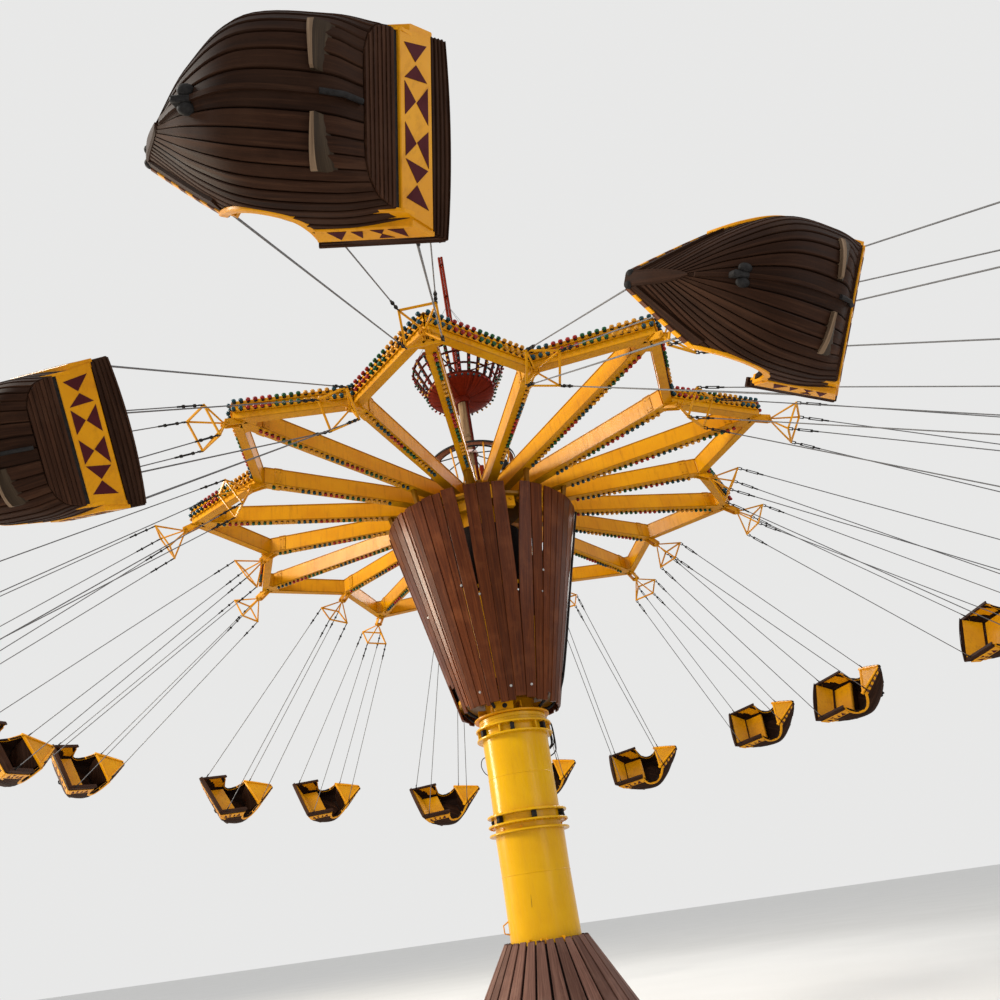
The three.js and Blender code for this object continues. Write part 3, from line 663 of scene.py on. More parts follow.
def make_head():
    head = Form()
    spindle, tail = 0.0595, BEARING_TOP - 0.109
    foot, rim, top = TURNTABLE_Z, TURNTABLE_Z + RING_T, BEAM_FOOT - 0.002
    head.turned([(AXIS_R, tail), (spindle, tail), (spindle, foot), (FLANGE_R - 0.005, foot),
                 (FLANGE_R, foot + 0.004), (FLANGE_R, rim - 0.004), (FLANGE_R - 0.005, rim),
                 (HEAD_R + 0.02, rim), (HEAD_R + 0.006, rim + 0.006), (HEAD_R, rim + 0.02), (HEAD_R, top),
                 (AXIS_R, top)])
    for angle in turns(30, 0.5):
        head.bolt(polar(0.52, angle, rim), UP)
    for angle in turns(8, 0.5):
        head.block((-0.01, -0.5, rim - 0.003), (0.01, -HEAD_R + 0.004, rim + 0.12), 0.5, spin(angle))
    # a gearbox plate with a round hole, to the right of the front
    turn = spin(0.07)
    head.block((-0.16, -0.53, rim - 0.002), (0.12, -0.49, rim + 0.16), 0.5, turn, 0.008)
    head.block((-0.16, -0.5, rim + 0.12), (0.12, -HEAD_R + 0.01, rim + 0.155), 0.5, turn, 0.008)
    head.stand("turning_head_skin", GOLD, "star", "gold_paint", "turning_head")
    dark = Form()
    # a thin black disc in front of the plate stands for its round hole: painted shade
    dark.tube([turn @ vec(0, y, rim + 0.06) for y in (-0.5295, -0.5325)], 0.035, 24, 0.3)
    # a black post beside the motor, and its hose
    angle = 1.12 * ARM_STEP
    post = polar(0.5, angle, rim + 0.3)
    dark.tube([polar(0.5, angle, rim), post], 0.032, 16, 0.4)
    dark.tube([post, polar(0.47, angle, rim + 0.5), polar(0.42, angle, rim + 0.7)], 0.018, 10, 0.4)
    dark.stand("head_fittings", BLACK, "star", "rubber")

    motor = Form()
    at = polar(MOTOR_AT, MOTOR_ANGLE)
    low = rim + CLEAR
    profile = [(AXIS_R, low), (0.055, low)]
    for i in range(7):
        z = low + 0.02 + i * 0.016
        profile += [(0.054, z), (0.062, z + 0.002), (0.062, z + 0.009), (0.054, z + 0.011)]
    profile += [(0.055, low + 0.14), (0.05, low + 0.16), (0.035, low + 0.169), (AXIS_R, low + 0.169)]
    motor.turned(profile, 28, centre=at)
    motor.stand("motor_case", GOLD, "star", "gold_paint", "drive_motor")


def cone_radius(z):
    return mix(CONE_FOOT_R, CONE_TOP_R, (z - CONE_FOOT) / (CONE_TOP - CONE_FOOT))


def cone_point(angle, z, depth=0.0):
    """A point on the cone's outer face, or this far inside it."""
    return polar(cone_radius(z) - depth, angle, z)


# The planks seen on the front of the cone: their left and right edges at the top, in degrees from
# arm 1; for some, the edges from the knee down too, and a brightness, above 0.5 for two planks on the left
# that are toned lighter as a painted highlight
PLANK_KNEE = 5.7
PLANK_EDGES = ((76, 67.5), (67, 60), (59.5, 53), (52.2, 47.3, 52.2, 47.3, 1.1), (46.2, 44.2, 46.2, 44.2, 1.1),
               (43.8, 38.4), (38, 30.4), (29.8, 22.6), (22.2, 17.4), (16.6, 8.8, 16.6, 6.1, 0.5),
               (3.4, -3.6, 5.2, -3.6, 0.5), (-3.9, -11.5, -3.9, -11.8, 0.5),
               (-12.5, -19.3, -12.2, -23.3, 0.5), (-29.2, -35.6, -24.2, -35.3, 0.5),
               (-36, -43.6, -36.3, -44, 0.5), (-45.8, -51.4, -45, -51.4, 0.5), (-51.9, -57.2), (-57.7, -64),
               (-64.6, -72), (-72.6, -80))
SHORT_FEET = {0: 0.5, 1: 0.42, 3: 0.1, 5: 0.04, 12: 0.07, 16: 0.12}
# the planks behind run on from the last of these to the first, round the back
BACK_START, BACK_END = -81.0, -274


def make_cone():
    boards = [(a, b, *(rest or (a, b, 0.5))) for a, b, *rest in PLANK_EDGES]
    angle = BACK_START
    while angle > BACK_END:
        width = rng.uniform(6.5, 9.5)
        boards.append((angle, angle - width, angle, angle - width, 0.5))
        angle -= width + rng.choice((0.4, 0.5, 0.7))
    planks = Form()
    for n, (left, right, low_left, low_right, bright) in enumerate(boards):
        foot = CONE_FOOT + SHORT_FEET.get(n, rng.uniform(0, 0.05))
        top = CONE_TOP - rng.uniform(0.0, 0.03)
        # a brightness above 0.5 lifts the plank's tone: painted highlight
        tone = rng.uniform(0.25, 0.65) + bright - 0.5
        lift = rng.uniform(0.001, 0.012)
        rings = []
        for i, z in enumerate(steps(9, foot, top)):
            t = max(0.0, (z - PLANK_KNEE) / (CONE_TOP - PLANK_KNEE))
            first, last = radians(mix(low_left, left, t)), radians(mix(low_right, right, t))
            r = cone_radius(z) - 0.014 + lift * (1 - i / 10)
            wide = r * tan((first - last) / 2) * (1.0 + 0.008 * sin(i * 1.7 + n))
            turn = spin((first + last) / 2)
            rings.append([turn @ vec(x, d - r, z) for x, d in board(wide, 0.026, 0.004, 0)])
        planks.sweep(rings, tone)
    planks.stand("cone_planks", PLANKS, "star", "planks", "cone_cladding")

    # two hoops, five struts and three boxes behind the gaps
    hoops = Form()
    for z in (4.45, 5.86):
        r = cone_radius(z) - 0.05
        hoops.turned([(r - 0.03, z), (r, z), (r + 0.013, z + 0.05), (r - 0.017, z + 0.05)], 60, 0.3)
    for at, low, high in ((17.0, 4.9, 5.9), (5.7, 4.6, 5.8), (-12.0, 7.1, 7.3), (-35.8, 4.45, 5.4),
                          (-44.5, 7.0, 7.3)):
        hoops.tube([cone_point(radians(at), z, 0.035) for z in (low, high)], 0.013, 4, 0.6)
    for low, high, z, top in ((3.5, 10.2, 7.0, 7.3), (-26.5, -21.0, 7.0, 7.22), (-46.5, -43.0, 6.95, 7.15)):
        turn = spin(radians((low + high) / 2))
        r = cone_radius(z)
        wide = r * tan(radians((high - low) / 2))
        hoops.block((-wide, -r + 0.07, z), (wide, -r + 0.17, top), 0.5, turn, 0.008)
        hoops.bolt(turn @ vec(0, -r + 0.07, (z + top) / 2), turn.to_3x3() @ AHEAD, 0.02, 0.3)
    hoops.stand("cone_hoops", GOLD, "star", "gold_paint")

    bolts = Form()
    spots = [(5.7, 5.75), (-22.8, 5.75), (-43.5, 5.75), (17.7, 5.93), (-44.7, 6.06), (26, 4.46), (-8, 4.46),
             (-30, 4.46), *((degrees, 5.75) for degrees in range(-300, -90, 21))]
    for degrees, z in spots:
        a = radians(degrees)
        out = (polar(1, a) - UP * 0.25).normalized()
        bolts.bolt(cone_point(a, z, 0.012) + out * 0.002, out, 0.012, 0.6)
    bolts.stand("cone_bolts", STEEL, "star", "steel")

    dark = Form()
    for degrees in (-86, -150, -205, -255):
        a = radians(degrees)
        path = [cone_point(a, z, d) for z, d in ((7.3, -0.012), (6.2, -0.012), (4.9, -0.012), (4.5, 0.02))]
        path += [polar(r, a, z) for r, z in ((0.64, 4.3), (0.56, 4.25), (0.5, 4.24))]
        dark.tube(smooth(path, 5), 0.018, 10, 0.4)
    for degrees in (74, 20, -60):
        a = radians(degrees)
        path = [cone_point(a, 5.2, 0.12), cone_point(a, 4.5, 0.09), polar(0.62, a, 4.33), polar(0.5, a, 4.24)]
        dark.tube(smooth(path, 5), 0.022, 10, 0.4)
    dark.stand("cone_pipes", BLACK, "star", "rubber")
    shade = Form()
    shade.turned([(HEAD_R + out, z) for out, z in ((0.02, 4.5), (0.03, 4.5), (0.25, 7.15), (0.24, 7.15))], 40)
    shade.stand("cone_shade", PAINTED_SHADE, "star", "planks")


make_head()
make_cone()

# The star of welded box beams

PLATE_LIP = 0.009
SEQUENCE = ("teal", "yellow", "green", "red")
RIM_BULBS = 17


def reach(k):
    """How far out the star's corner number k is."""
    return OUTER_R if k % 2 == 0 else INNER_R


def tip(k, back=0.0):
    return polar(reach(k) - back, k * ARM_STEP)


def inset(outline, by):
    """A convex outline of (x, y) points moved inwards."""
    pairs = list(zip(outline, outline[1:] + outline[:1]))
    way = 1 if sum(a[0] * b[1] - b[0] * a[1] for a, b in pairs) > 0 else -1
    lines = []
    for a, b in pairs:
        dx, dy = b[0] - a[0], b[1] - a[1]
        size = hypot(dx, dy) * way
        lines.append((-dy / size, dx / size, (dx * a[1] - dy * a[0]) / size + by))
    out = []
    for a, b in zip(lines[-1:] + lines, lines):
        det = a[0] * b[1] - a[1] * b[0]
        out.append(((a[2] * b[1] - b[2] * a[1]) / det, (a[0] * b[2] - b[0] * a[2]) / det))
    return out


def beam(form, outline, low=BEAM_FOOT, high=BEAM_TOP, plate=0.012):
    """A welded box: two side plates set in between a bottom and a top plate; the top and bottom plates and a
    thin skin under the bottom are toned darker than the sides, painted shade on the underside and along the
    plate edges.
    """
    for by, foot, top, tone in ((0, low, low + plate, 0.2), (PLATE_LIP, low + plate, high - plate, 0.5),
                                (0, high - plate, high, 0.2), (0.003, low - 0.0015, low + 0.001, 0.36)):
        flat = inset([(p[0], p[1]) for p in outline], by)
        form.sweep([[vec(x, y, z) for x, y in flat] for z in (foot, top)], tone)


def make_star():
    beams = Form()
    for k in range(ARMS):
        turn = spin(k * ARM_STEP)
        arm = oblong(-ARM_W / 2, ARM_W / 2, HUB_R, reach(k) - RIM_W * 0.9)
        beam(beams, [turn @ vec(x, -y, 0) for x, y in arm])
        inner = []
        for i in (k + 1, k):
            half = (tip(i - 1) - tip(i)).angle(tip(i + 1) - tip(i)) / 2
            inner.append(tip(i, RIM_W / sin(half)))
        beam(beams, [tip(k), tip(k + 1), *inner], plate=0.014)
        corner = tip(k, 0.012)
        for other in (tip(k - 1), tip(k + 1)):
            foot = corner + (other - corner).normalized() * GUSSETS[k % 2]
            beam(beams, [corner, foot, tip(k, GUSSETS[k % 2])], BEAM_FOOT + 0.002, BEAM_TOP - 0.002)
    beams.stand("star_beams", GOLD, "star", "gold_paint", *(f"star_sector_{i}" for i in (1, 2, 3, 4)))

    details = Form()
    for k in range(ARMS):
        r = reach(k)
        pin = r + PIN_OUT
        turn = spin(k * ARM_STEP)
        across = turn.to_3x3() @ vec(1, 0, 0)
        lug = [(r - 0.15, BEAM_FOOT - 0.02), (r - 0.005, BEAM_FOOT - 0.002), (pin + 0.036, PIN_Z + 0.036),
               (pin + 0.036, PIN_Z - 0.02), (pin + 0.024, PIN_Z - 0.028), (pin - 0.036, PIN_Z - 0.028)]
        for side in SIDES:
            details.sweep([[turn @ vec(side * x, -y, z) for y, z in lug] for x in (0.039, 0.057)], 0.45)
            foot = side * 0.048
            details.block((foot - 0.03, -r + 0.005, BEAM_FOOT - 0.012),
                          (foot + 0.03, -r + 0.17, BEAM_FOOT - 0.001), 0.4, turn)
            details.bolt(turn @ vec(side * 0.057, -pin, PIN_Z), across * side, 0.02, 0.35)
            for y in (0.06, 0.13):
                details.bolt(turn @ vec(side * 0.062, -r + y, BEAM_FOOT - 0.0115), -UP, 0.009, 0.3)
        details.tube([turn @ vec(x, -pin, PIN_Z) for x in (-0.05, 0.05)], 0.0195, 16, 0.35)
        # a joint plate across the beam
        seat = r - GUSSETS[k % 2] - 0.12
        for z in (BEAM_FOOT - 0.006, BEAM_TOP):
            details.block((-0.082, -seat - 0.06, z), (0.082, -seat + 0.06, z + 0.006), 0.42, turn)
        for side in SIDES:
            web = side * 0.0745
            details.block((web - 0.004, -seat - 0.05, BEAM_FOOT + 0.02),
                          (web + 0.004, -seat + 0.05, BEAM_TOP - 0.02), 0.42, turn)
            for y in (-0.03, 0.03):
                for z in (BEAM_FOOT + 0.06, BEAM_TOP - 0.06):
                    details.bolt(turn @ vec(side * 0.078, -seat + y, z), across * side, 0.009, 0.3)
    details.stand("star_lugs", GOLD, "star", "gold_paint")


lamps = {name: Form() for name in LAMPS}
sockets = Form()


def bulb(at, way, place, size):
    """A lamp in its socket, standing along way, in the colour for its place in the run."""
    lamp = lamps[SEQUENCE[place % 4]]
    for form, tone, profile in ((sockets, 0.4, ((0.022, -0.004), (0.022, 0.012), (0.018, 0.016))),
                                (lamp, 0.5, ((0.016, 0.013), (0.026, 0.02), (0.029, 0.034), (0.023, 0.047),
                                             (0.009, 0.053)))):
        form.spindle(at, way, [(radius * size, rise * size) for radius, rise in profile], 8, tone)


def make_bulbs():
    strips = Form()
    for k in range(ARMS):
        here, after = tip(k), tip(k + 1)
        span = after - here
        way = span.normalized()
        out = vec(way.y, -way.x, 0)
        if out.dot(here) < 0:
            out = -out
        for z, lean in ((BEAM_TOP - 0.03, 0.5), (BEAM_TOP - 0.145, 0.1)):
            # each strip is toned a little lighter than the beams: painted highlight on the channel faces
            strips.sweep([[end + out * d + UP * (z + h) for d, h in oblong(0.001, 0.012, -0.028, 0.028)]
                          for end in (here + way * 0.03, after - way * 0.03)], 0.62)
            for i in range(RIM_BULBS):
                at = here + span * ((i + 0.5) / RIM_BULBS) + out * 0.012 + UP * z
                bulb(at, (out + UP * lean).normalized(), (k * RIM_BULBS + i) // 4, 1.1)
        start = CONE_TOP_R + 0.04
        room = reach(k) - GUSSETS[k % 2] - 0.02 - start
        count = int(room / 0.088)
        for i in range(count):
            at = spin(k * ARM_STEP) @ vec(0.03, -(start + (i + 0.5) * room / count), BEAM_FOOT - 0.002)
            bulb(at, -UP, (i + k) // 4, 1.0)
    strips.stand("lamp_strips", GOLD, "star", "gold_paint")


make_star()
make_bulbs()

# The poles, the lookout, and the canopy over the hub


def basket_radius(z):
    return mix(BASKET_FOOT_R, BASKET_R, (z - BOWL_TOP) / (BASKET_TOP - BOWL_TOP))


def make_poles():
    pole = Form()
    foot = BEAM_TOP + 0.001
    pole.turned([(AXIS_R, foot), (POLE_R, foot), (POLE_R, 9.0), (POLE_R * 0.98, NEST_FOOT),
                 (AXIS_R, NEST_FOOT)], 32, 0.4, along=True)
    for z in (8.35, 9.2):
        pole.turned(oblong(POLE_R - 0.005, POLE_R + 0.008, z, z + 0.05), 32, 0.2, along=True)
    pole.stand("pole", POLE, "star", "pole_wood", "nest_pole")
    twin = Form()
    twin.tube([(0.075, -0.05, 7.92), (0.075, -0.05, NEST_FOOT - 0.03)], 0.034, 12, 0.0)
    for x in (-0.0275, 0.0275):
        twin.tube([(x, 0, z) for z in steps(6, NEST_FOOT, POLE_TOP - 0.001)], 0.027, 14, 0.7)
    for z in (11.6, 12.7, 13.6):
        twin.turned(oblong(0.03, 0.054, z, z + 0.03), 20, 0.2)
    twin.stand("top_poles", NEST, "star", "nest_wood")


def make_nest():
    bowl = Form()
    bore = 0.0562
    foot = NEST_FOOT + CLEAR
    height = BOWL_TOP - foot

    def dish(t, inside):
        r = BOWL_FOOT_R + (BOWL_R - BOWL_FOOT_R - inside) * sin(t)
        return r, foot + inside + (height - inside) * (1 - cos(t))

    arc = steps(14, 0, pi / 2)
    outside, hollow = ([dish(t, inside) for t in arc] for inside in (0, BOWL_WALL))
    bowl.turned([(bore, foot), *outside, *hollow[::-1], (bore, foot + BOWL_WALL)], 64, 0.5, along=True)
    for angle in turns(8, 0.3):
        rings = []
        for t in arc[::2]:
            r, z = dish(t, 0)
            rings.append([spin(angle) @ vec(across, -r - 0.001 - d * sin(t), max(foot, z - d * cos(t)))
                          for across, d in oblong(-0.012, 0.012, -0.006, 0.008)])
        bowl.sweep(rings, 0.25)
    bowl.turned([(0.096, foot - 0.1), (0.12, foot - 0.1), (0.15, foot), (0.096, foot)], 32, 0.3)
    bowl.stand("nest_bowl_shell", NEST, "star", "nest_wood", "nest_bowl")

    basket = Form()
    low = BOWL_TOP + CLEAR
    for z, tall, wide in ((low, 0.055, 0.028), (10.4, 0.028, 0.02), (10.6, 0.028, 0.02),
                          (BASKET_TOP - 0.055, 0.055, 0.028)):
        r = basket_radius(z)
        basket.turned([(r - wide, z), (r + 0.006, z), (r + 0.012, z + tall / 2), (r + 0.008, z + tall),
                       (r - wide, z + tall)], 72, 0.35)
    for i, angle in enumerate(turns(BASKET_RIBS, 0.5)):
        basket.sweep([[spin(angle) @ vec(across, -basket_radius(z) + 0.004 - d, z)
                       for across, d in board(0.03, -0.022, 0.004, 0.012, 0.008)]
                      for z in steps(4, low + 0.01, BASKET_TOP - 0.01)], rng.uniform(0.3, 0.6))
        for s, z in enumerate(steps(5, low + 0.07, BASKET_TOP - 0.09)):
            way = (polar(1, angle) - UP * 0.15).normalized()
            bulb(polar(basket_radius(z) + 0.006, angle, z), way, i + s // 2, 0.75)
    for i, angle in enumerate(turns(36)):
        bulb(polar(BOWL_R - 0.012, angle, BOWL_TOP - 0.05), polar(1, angle), i // 4, 0.75)
    for angle in turns(4, 0.2):
        end = polar(basket_radius(10.6) - 0.01, angle, 10.61)
        basket.tube([polar(0.05, angle, 10.7), end], 0.014, 8, 0.4)
    basket.stand("nest_ribs", RIBS, "star", "nest_wood", "nest_basket")

    stays = Form()
    for angle in turns(4, 0.5):
        end = polar(BASKET_R - 0.02, angle + 0.2, BASKET_TOP - 0.02)
        stays.tube([polar(0.05, angle + 0.2, 12.4), end], 0.004, 6)
    stays.stand("stays", CABLE, "star", "steel")


def make_canopy():
    """Spokes from a pale ring on the pole to a banded rim that stands on thin posts."""
    low = BEAM_TOP + CLEAR
    rim = low + DOME_RISE
    inner = DOME_R - DOME_BAND
    straps = Form()
    edges = steps(40, 0, 2 * pi)
    for i, ends in enumerate(zip(edges, edges[1:])):
        wide = 20 < ends[0] * 180 / pi < 140
        in_by, out_by = (0.012, 0.012) if wide else (0.045, 0.03)
        section = oblong(inner + in_by, DOME_R - out_by, rim - 0.022, rim - 0.012)
        straps.sweep([[polar(r, a, z) for r, z in section] for a in ends], 0.45 + 0.25 * (i // 5 % 2))
    straps.stand("cage_straps", CAGE, "star", "pole_wood", "dome_cage")
    bars, posts = Form(), Form()
    for r in (inner, DOME_R - 0.014):
        bars.turned(oblong(r, r + 0.014, rim - 0.03, rim), 60, 0.4)
    for angle in turns(DOME_RIBS, 0.5):
        bars.tube([polar(r, angle, rim - 0.012 + DOME_H * (1 - r / DOME_R))
                   for r in (0.12, 0.45, DOME_R - 0.012)], 0.011, 6, 0.4)
        head = polar(DOME_R - 0.035, angle, rim - 0.015)
        posts.tube([polar(DOME_POST_R - 0.03, angle, BEAM_TOP), head], 0.014)
    # small things that stand on the hub: boxes with a bar each, domes, lamps
    for degrees, r in ((12, 0.4), (-9, 0.46), (-25, 0.35), (40, 0.3), (150, 0.4)):
        a = radians(degrees)
        bars.block((-0.03, -r - 0.05, low), (0.03, -r + 0.03, low + 0.1), 0.4, spin(a), 0.01)
        posts.tube([polar(r, a, BEAM_TOP), polar(r * 0.8, a, BEAM_TOP + 0.5)], 0.011, 8, 0.4)
    for degrees, r, size in ((38, 0.95, 0.085), (30, 0.82, 0.07), (-40, 0.9, 0.08), (-33, 1.05, 0.06),
                             (150, 0.9, 0.08), (220, 0.9, 0.08)):
        profile = [(AXIS_R, low), (size * 0.8, low), (size, low + 0.03)]
        profile += [(size * cos(t), low + 0.12 + size * sin(t)) for t in (0, 0.4, 0.8, 1.2, 1.5)]
        bars.turned([*profile, (AXIS_R, low + 0.12 + size)], 20, 0.4, centre=polar(r, radians(degrees)))
    for n, degrees in enumerate((-36, -38, -42, -45, -30)):
        bulb(polar(0.93, radians(degrees), low + 0.19), UP, n, 0.8)
    bars.stand("cage_bars", BLACK, "star", "rubber")
    posts.stand("cage_posts", GOLD, "star", "gold_paint")
    ring = Form()
    top = rim + DOME_H - 0.012
    bore = POLE_R + 0.002
    ring.turned([(bore, top - 0.05), (0.138, top - 0.05), (0.138, top - 0.006), (0.13, top), (bore, top)], 32)
    ring.stand("cage_ring", PALE, "star", "pole_wood")
    box = Form()
    box.block((0.12, -0.09, low + 0.42), (0.2, 0.0, low + 0.66), 0.8, bevel=0.012)
    box.block((0.13, -0.08, low), (0.17, -0.04, low + 0.42), 0.3, bevel=0.006)
    box.stand("cage_box", NEST, "star", "nest_wood")


make_poles()
make_nest()
make_canopy()
for name, form in lamps.items():
    form.stand(f"bulbs_{name}", LAMPS[name], "star", "gold_paint", crease=50)
sockets.stand("bulb_sockets", BLACK, "star", "rubber", crease=50)

# One boat, in its own frame: x forward, y to the side, z up; its middle is on the cables' top edge

# the hull's stations from stern to stem, each from the keel up to the top edge
STATIONS = (
    ((-0.465, 0, -0.404), (-0.468, 0.25, -0.4), (-0.512, 0.385, -0.345), (-0.62, 0.425, -0.211),
     (-0.79, 0.49, 0)),
    ((-0.3, 0, -0.525), (-0.3, 0.27, -0.515), (-0.31, 0.41, -0.4), (-0.32, 0.462, -0.23),
     (-0.34, 0.496, 0)),
    ((0.05, 0, -0.603), (0.05, 0.25, -0.578), (0.05, 0.39, -0.455), (0.05, 0.437, -0.27),
     (0.05, 0.455, -0.05)),
    ((0.33, 0, -0.5), (0.33, 0.15, -0.465), (0.325, 0.26, -0.36), (0.32, 0.315, -0.21),
     (0.31, 0.345, -0.055)),
    ((0.53, 0, -0.325), (0.565, 0.02, -0.27), (0.62, 0.035, -0.19), (0.68, 0.04, -0.1),
     (0.755, 0.042, 0.035)),
)
# the edge of the cut-out in the side, in (x, z) pairs
CUT = ((-0.16, 0.03), (-0.15, -0.06), (-0.135, -0.16), (-0.09, -0.255), (0.0, -0.305), (0.09, -0.3),
       (0.18, -0.24), (0.25, -0.15), (0.3, -0.06), (0.31, 0.03))
# the stern's half-width at slant distances below its top edge
STERN_HALVES = ((0, 0.49), (0.12, 0.462), (0.27, 0.425), (0.36, 0.415), (0.443, 0.385), (0.49, 0.32),
                (0.514, 0.25))
BAND_TOP, BAND_FOOT = 0.105, 0.315
BAND_OUT = 0.021
STERN_RISE = 0.026
SIDE_TOP, SIDE_FOOT = -0.075, -0.19
SIDE_OUT = 0.024
SHEET = 0.03
BOW_OUT = Vector((0.62, 0.78, -0.1))
PLANKS_A_SIDE = 13
PLANK_STEPS = 30
SHORTEST = 0.012
PALE_TONE = 3.4


def hull(length, girth):
    """The hull's outer surface on the +y side: length from stern to stem, girth from keel to top edge."""
    return curve([curve(station, girth * 4) for station in STATIONS], length * 4)


def cut_away(length, girth):
    """Whether this point of the hull is in the cut-out."""
    p = hull(length, girth)
    return CUT[0][0] <= p.x <= CUT[-1][0] and p.z > lookup(CUT, p.x)


def limit(length, low, high):
    """How far up a plank reaches before the cut-out."""
    tries = steps(6, low, high)
    for i, girth in enumerate(tries):
        if cut_away(length, girth):
            clear, cut = tries[max(i - 1, 0)], girth
            for _ in range(5):
                middle = (clear + cut) / 2
                clear, cut = (clear, middle) if cut_away(length, middle) else (middle, cut)
            return clear
    return high


def inward(p, by):
    """Moves a hull point towards the boat's middle line."""
    return p + (vec(p.x * 0.9, 0, -0.12) - p).normalized() * by


def mirrored(rings, sign):
    """Rings made on the +y side, for the side that sign names."""
    return [[vec(p.x, p.y * sign, p.z) for p in ring] for ring in rings]


def slab(form, run, tone, sign, deep, lap=0.004):
    """A thin board between pairs of hull points, this deep inside, with its lower edge lapping out."""
    back, shoulder = 0.018 + 2 * deep, 0.004 + deep
    rings = []
    for a, b in run:
        edge = (b - a) * min(0.1, 0.004 / max((b - a).length, 1e-4))
        rings.append([inward(a, back - lap), inward(a, shoulder - lap), inward(a + edge, deep - lap),
                      inward(b - edge, deep), inward(b, shoulder), inward(b, back)])
    form.sweep(mirrored(rings, sign), tone)


def plank_run(form, low, high, tone, sign, deep=0.0):
    """One board along the hull, cut where the cut-out is."""
    run = []
    for s in steps(PLANK_STEPS):
        top = limit(s, low, high)
        if top - low > SHORTEST:
            run.append((hull(s, low), hull(s, top)))
        if (top - low <= SHORTEST or s == 1) and len(run) > 1:
            slab(form, run, tone, sign, deep)
        if top - low <= SHORTEST:
            run = []


def hull_side(x, z):
    """The hull's half-width at a point of its side: a coarse search, then finer ones about the best."""
    best, span = (0.5, 0.7), 0.45
    for _ in range(7):
        spots = [(min(max(best[0] + span * i / 5, 0.02), 0.98), min(max(best[1] + span * j / 5, 0.3), 1.0))
                 for i in range(-5, 6) for j in range(-5, 6)]
        found = [hull(*spot) for spot in spots]
        n = min(range(len(spots)), key=lambda i: (found[i].x - x) ** 2 + (found[i].z - z) ** 2)
        best = spots[n]
        span *= 0.35
    return found[n].y


def transom(y, slant, out=0.0):
    """A point on the raked stern: slant is measured down from the top edge, out stands off the stern."""
    down = vec(1, 0, -TRANSOM_SLOPE).normalized()
    away = vec(-TRANSOM_SLOPE, 0, -1).normalized()
    return vec(STERN_X, y, 0) + down * slant + away * out


def stern_half(slant):
    return lookup(STERN_HALVES, slant)


def side_band(x, z, out):
    """A point on the side panel's outside."""
    t = (x - STERN_X) / (PANEL_X - STERN_X)
    return vec(x, mix(0.488, 0.497, t) + z * 0.16 + out - 0.01, z)


def panel(t, z, rear=0.0, lean=0.12, front=0.0):
    """The x of the side panel at this height, with t from its rear to its front."""
    return mix(STERN_X - z / TRANSOM_SLOPE + rear, PANEL_X + z * lean + front, t)


def bow_plate(t):
    """The top and the foot of the broad plate along the bow, with t from the deck's rear to the nose."""
    top = vec(mix(DECK_X - 0.005, 0.745, t), mix(0.352, 0.05, t ** 1.08), mix(DECK_Z - 0.004, 0.045, t))
    base = vec(mix(DECK_X + 0.015, 0.715, t), mix(0.33, 0.046, t ** 1.05), mix(-0.235, -0.045, t))
    return top, base


def edge_square(form, n, sign, tone):
    """One of the ten squares on the bow plate, along the deck's edge."""
    rings = []
    for t in (0.01 + n * 0.098, 0.01 + (n + 1) * 0.098):
        top, base = bow_plate(t)
        foot = top.lerp(base, 0.34)
        rings.append([top - BOW_OUT * 0.004, top + BOW_OUT * 0.008, foot + BOW_OUT * 0.01,
                      foot - BOW_OUT * 0.004])
    form.sweep(mirrored(rings, sign), tone)


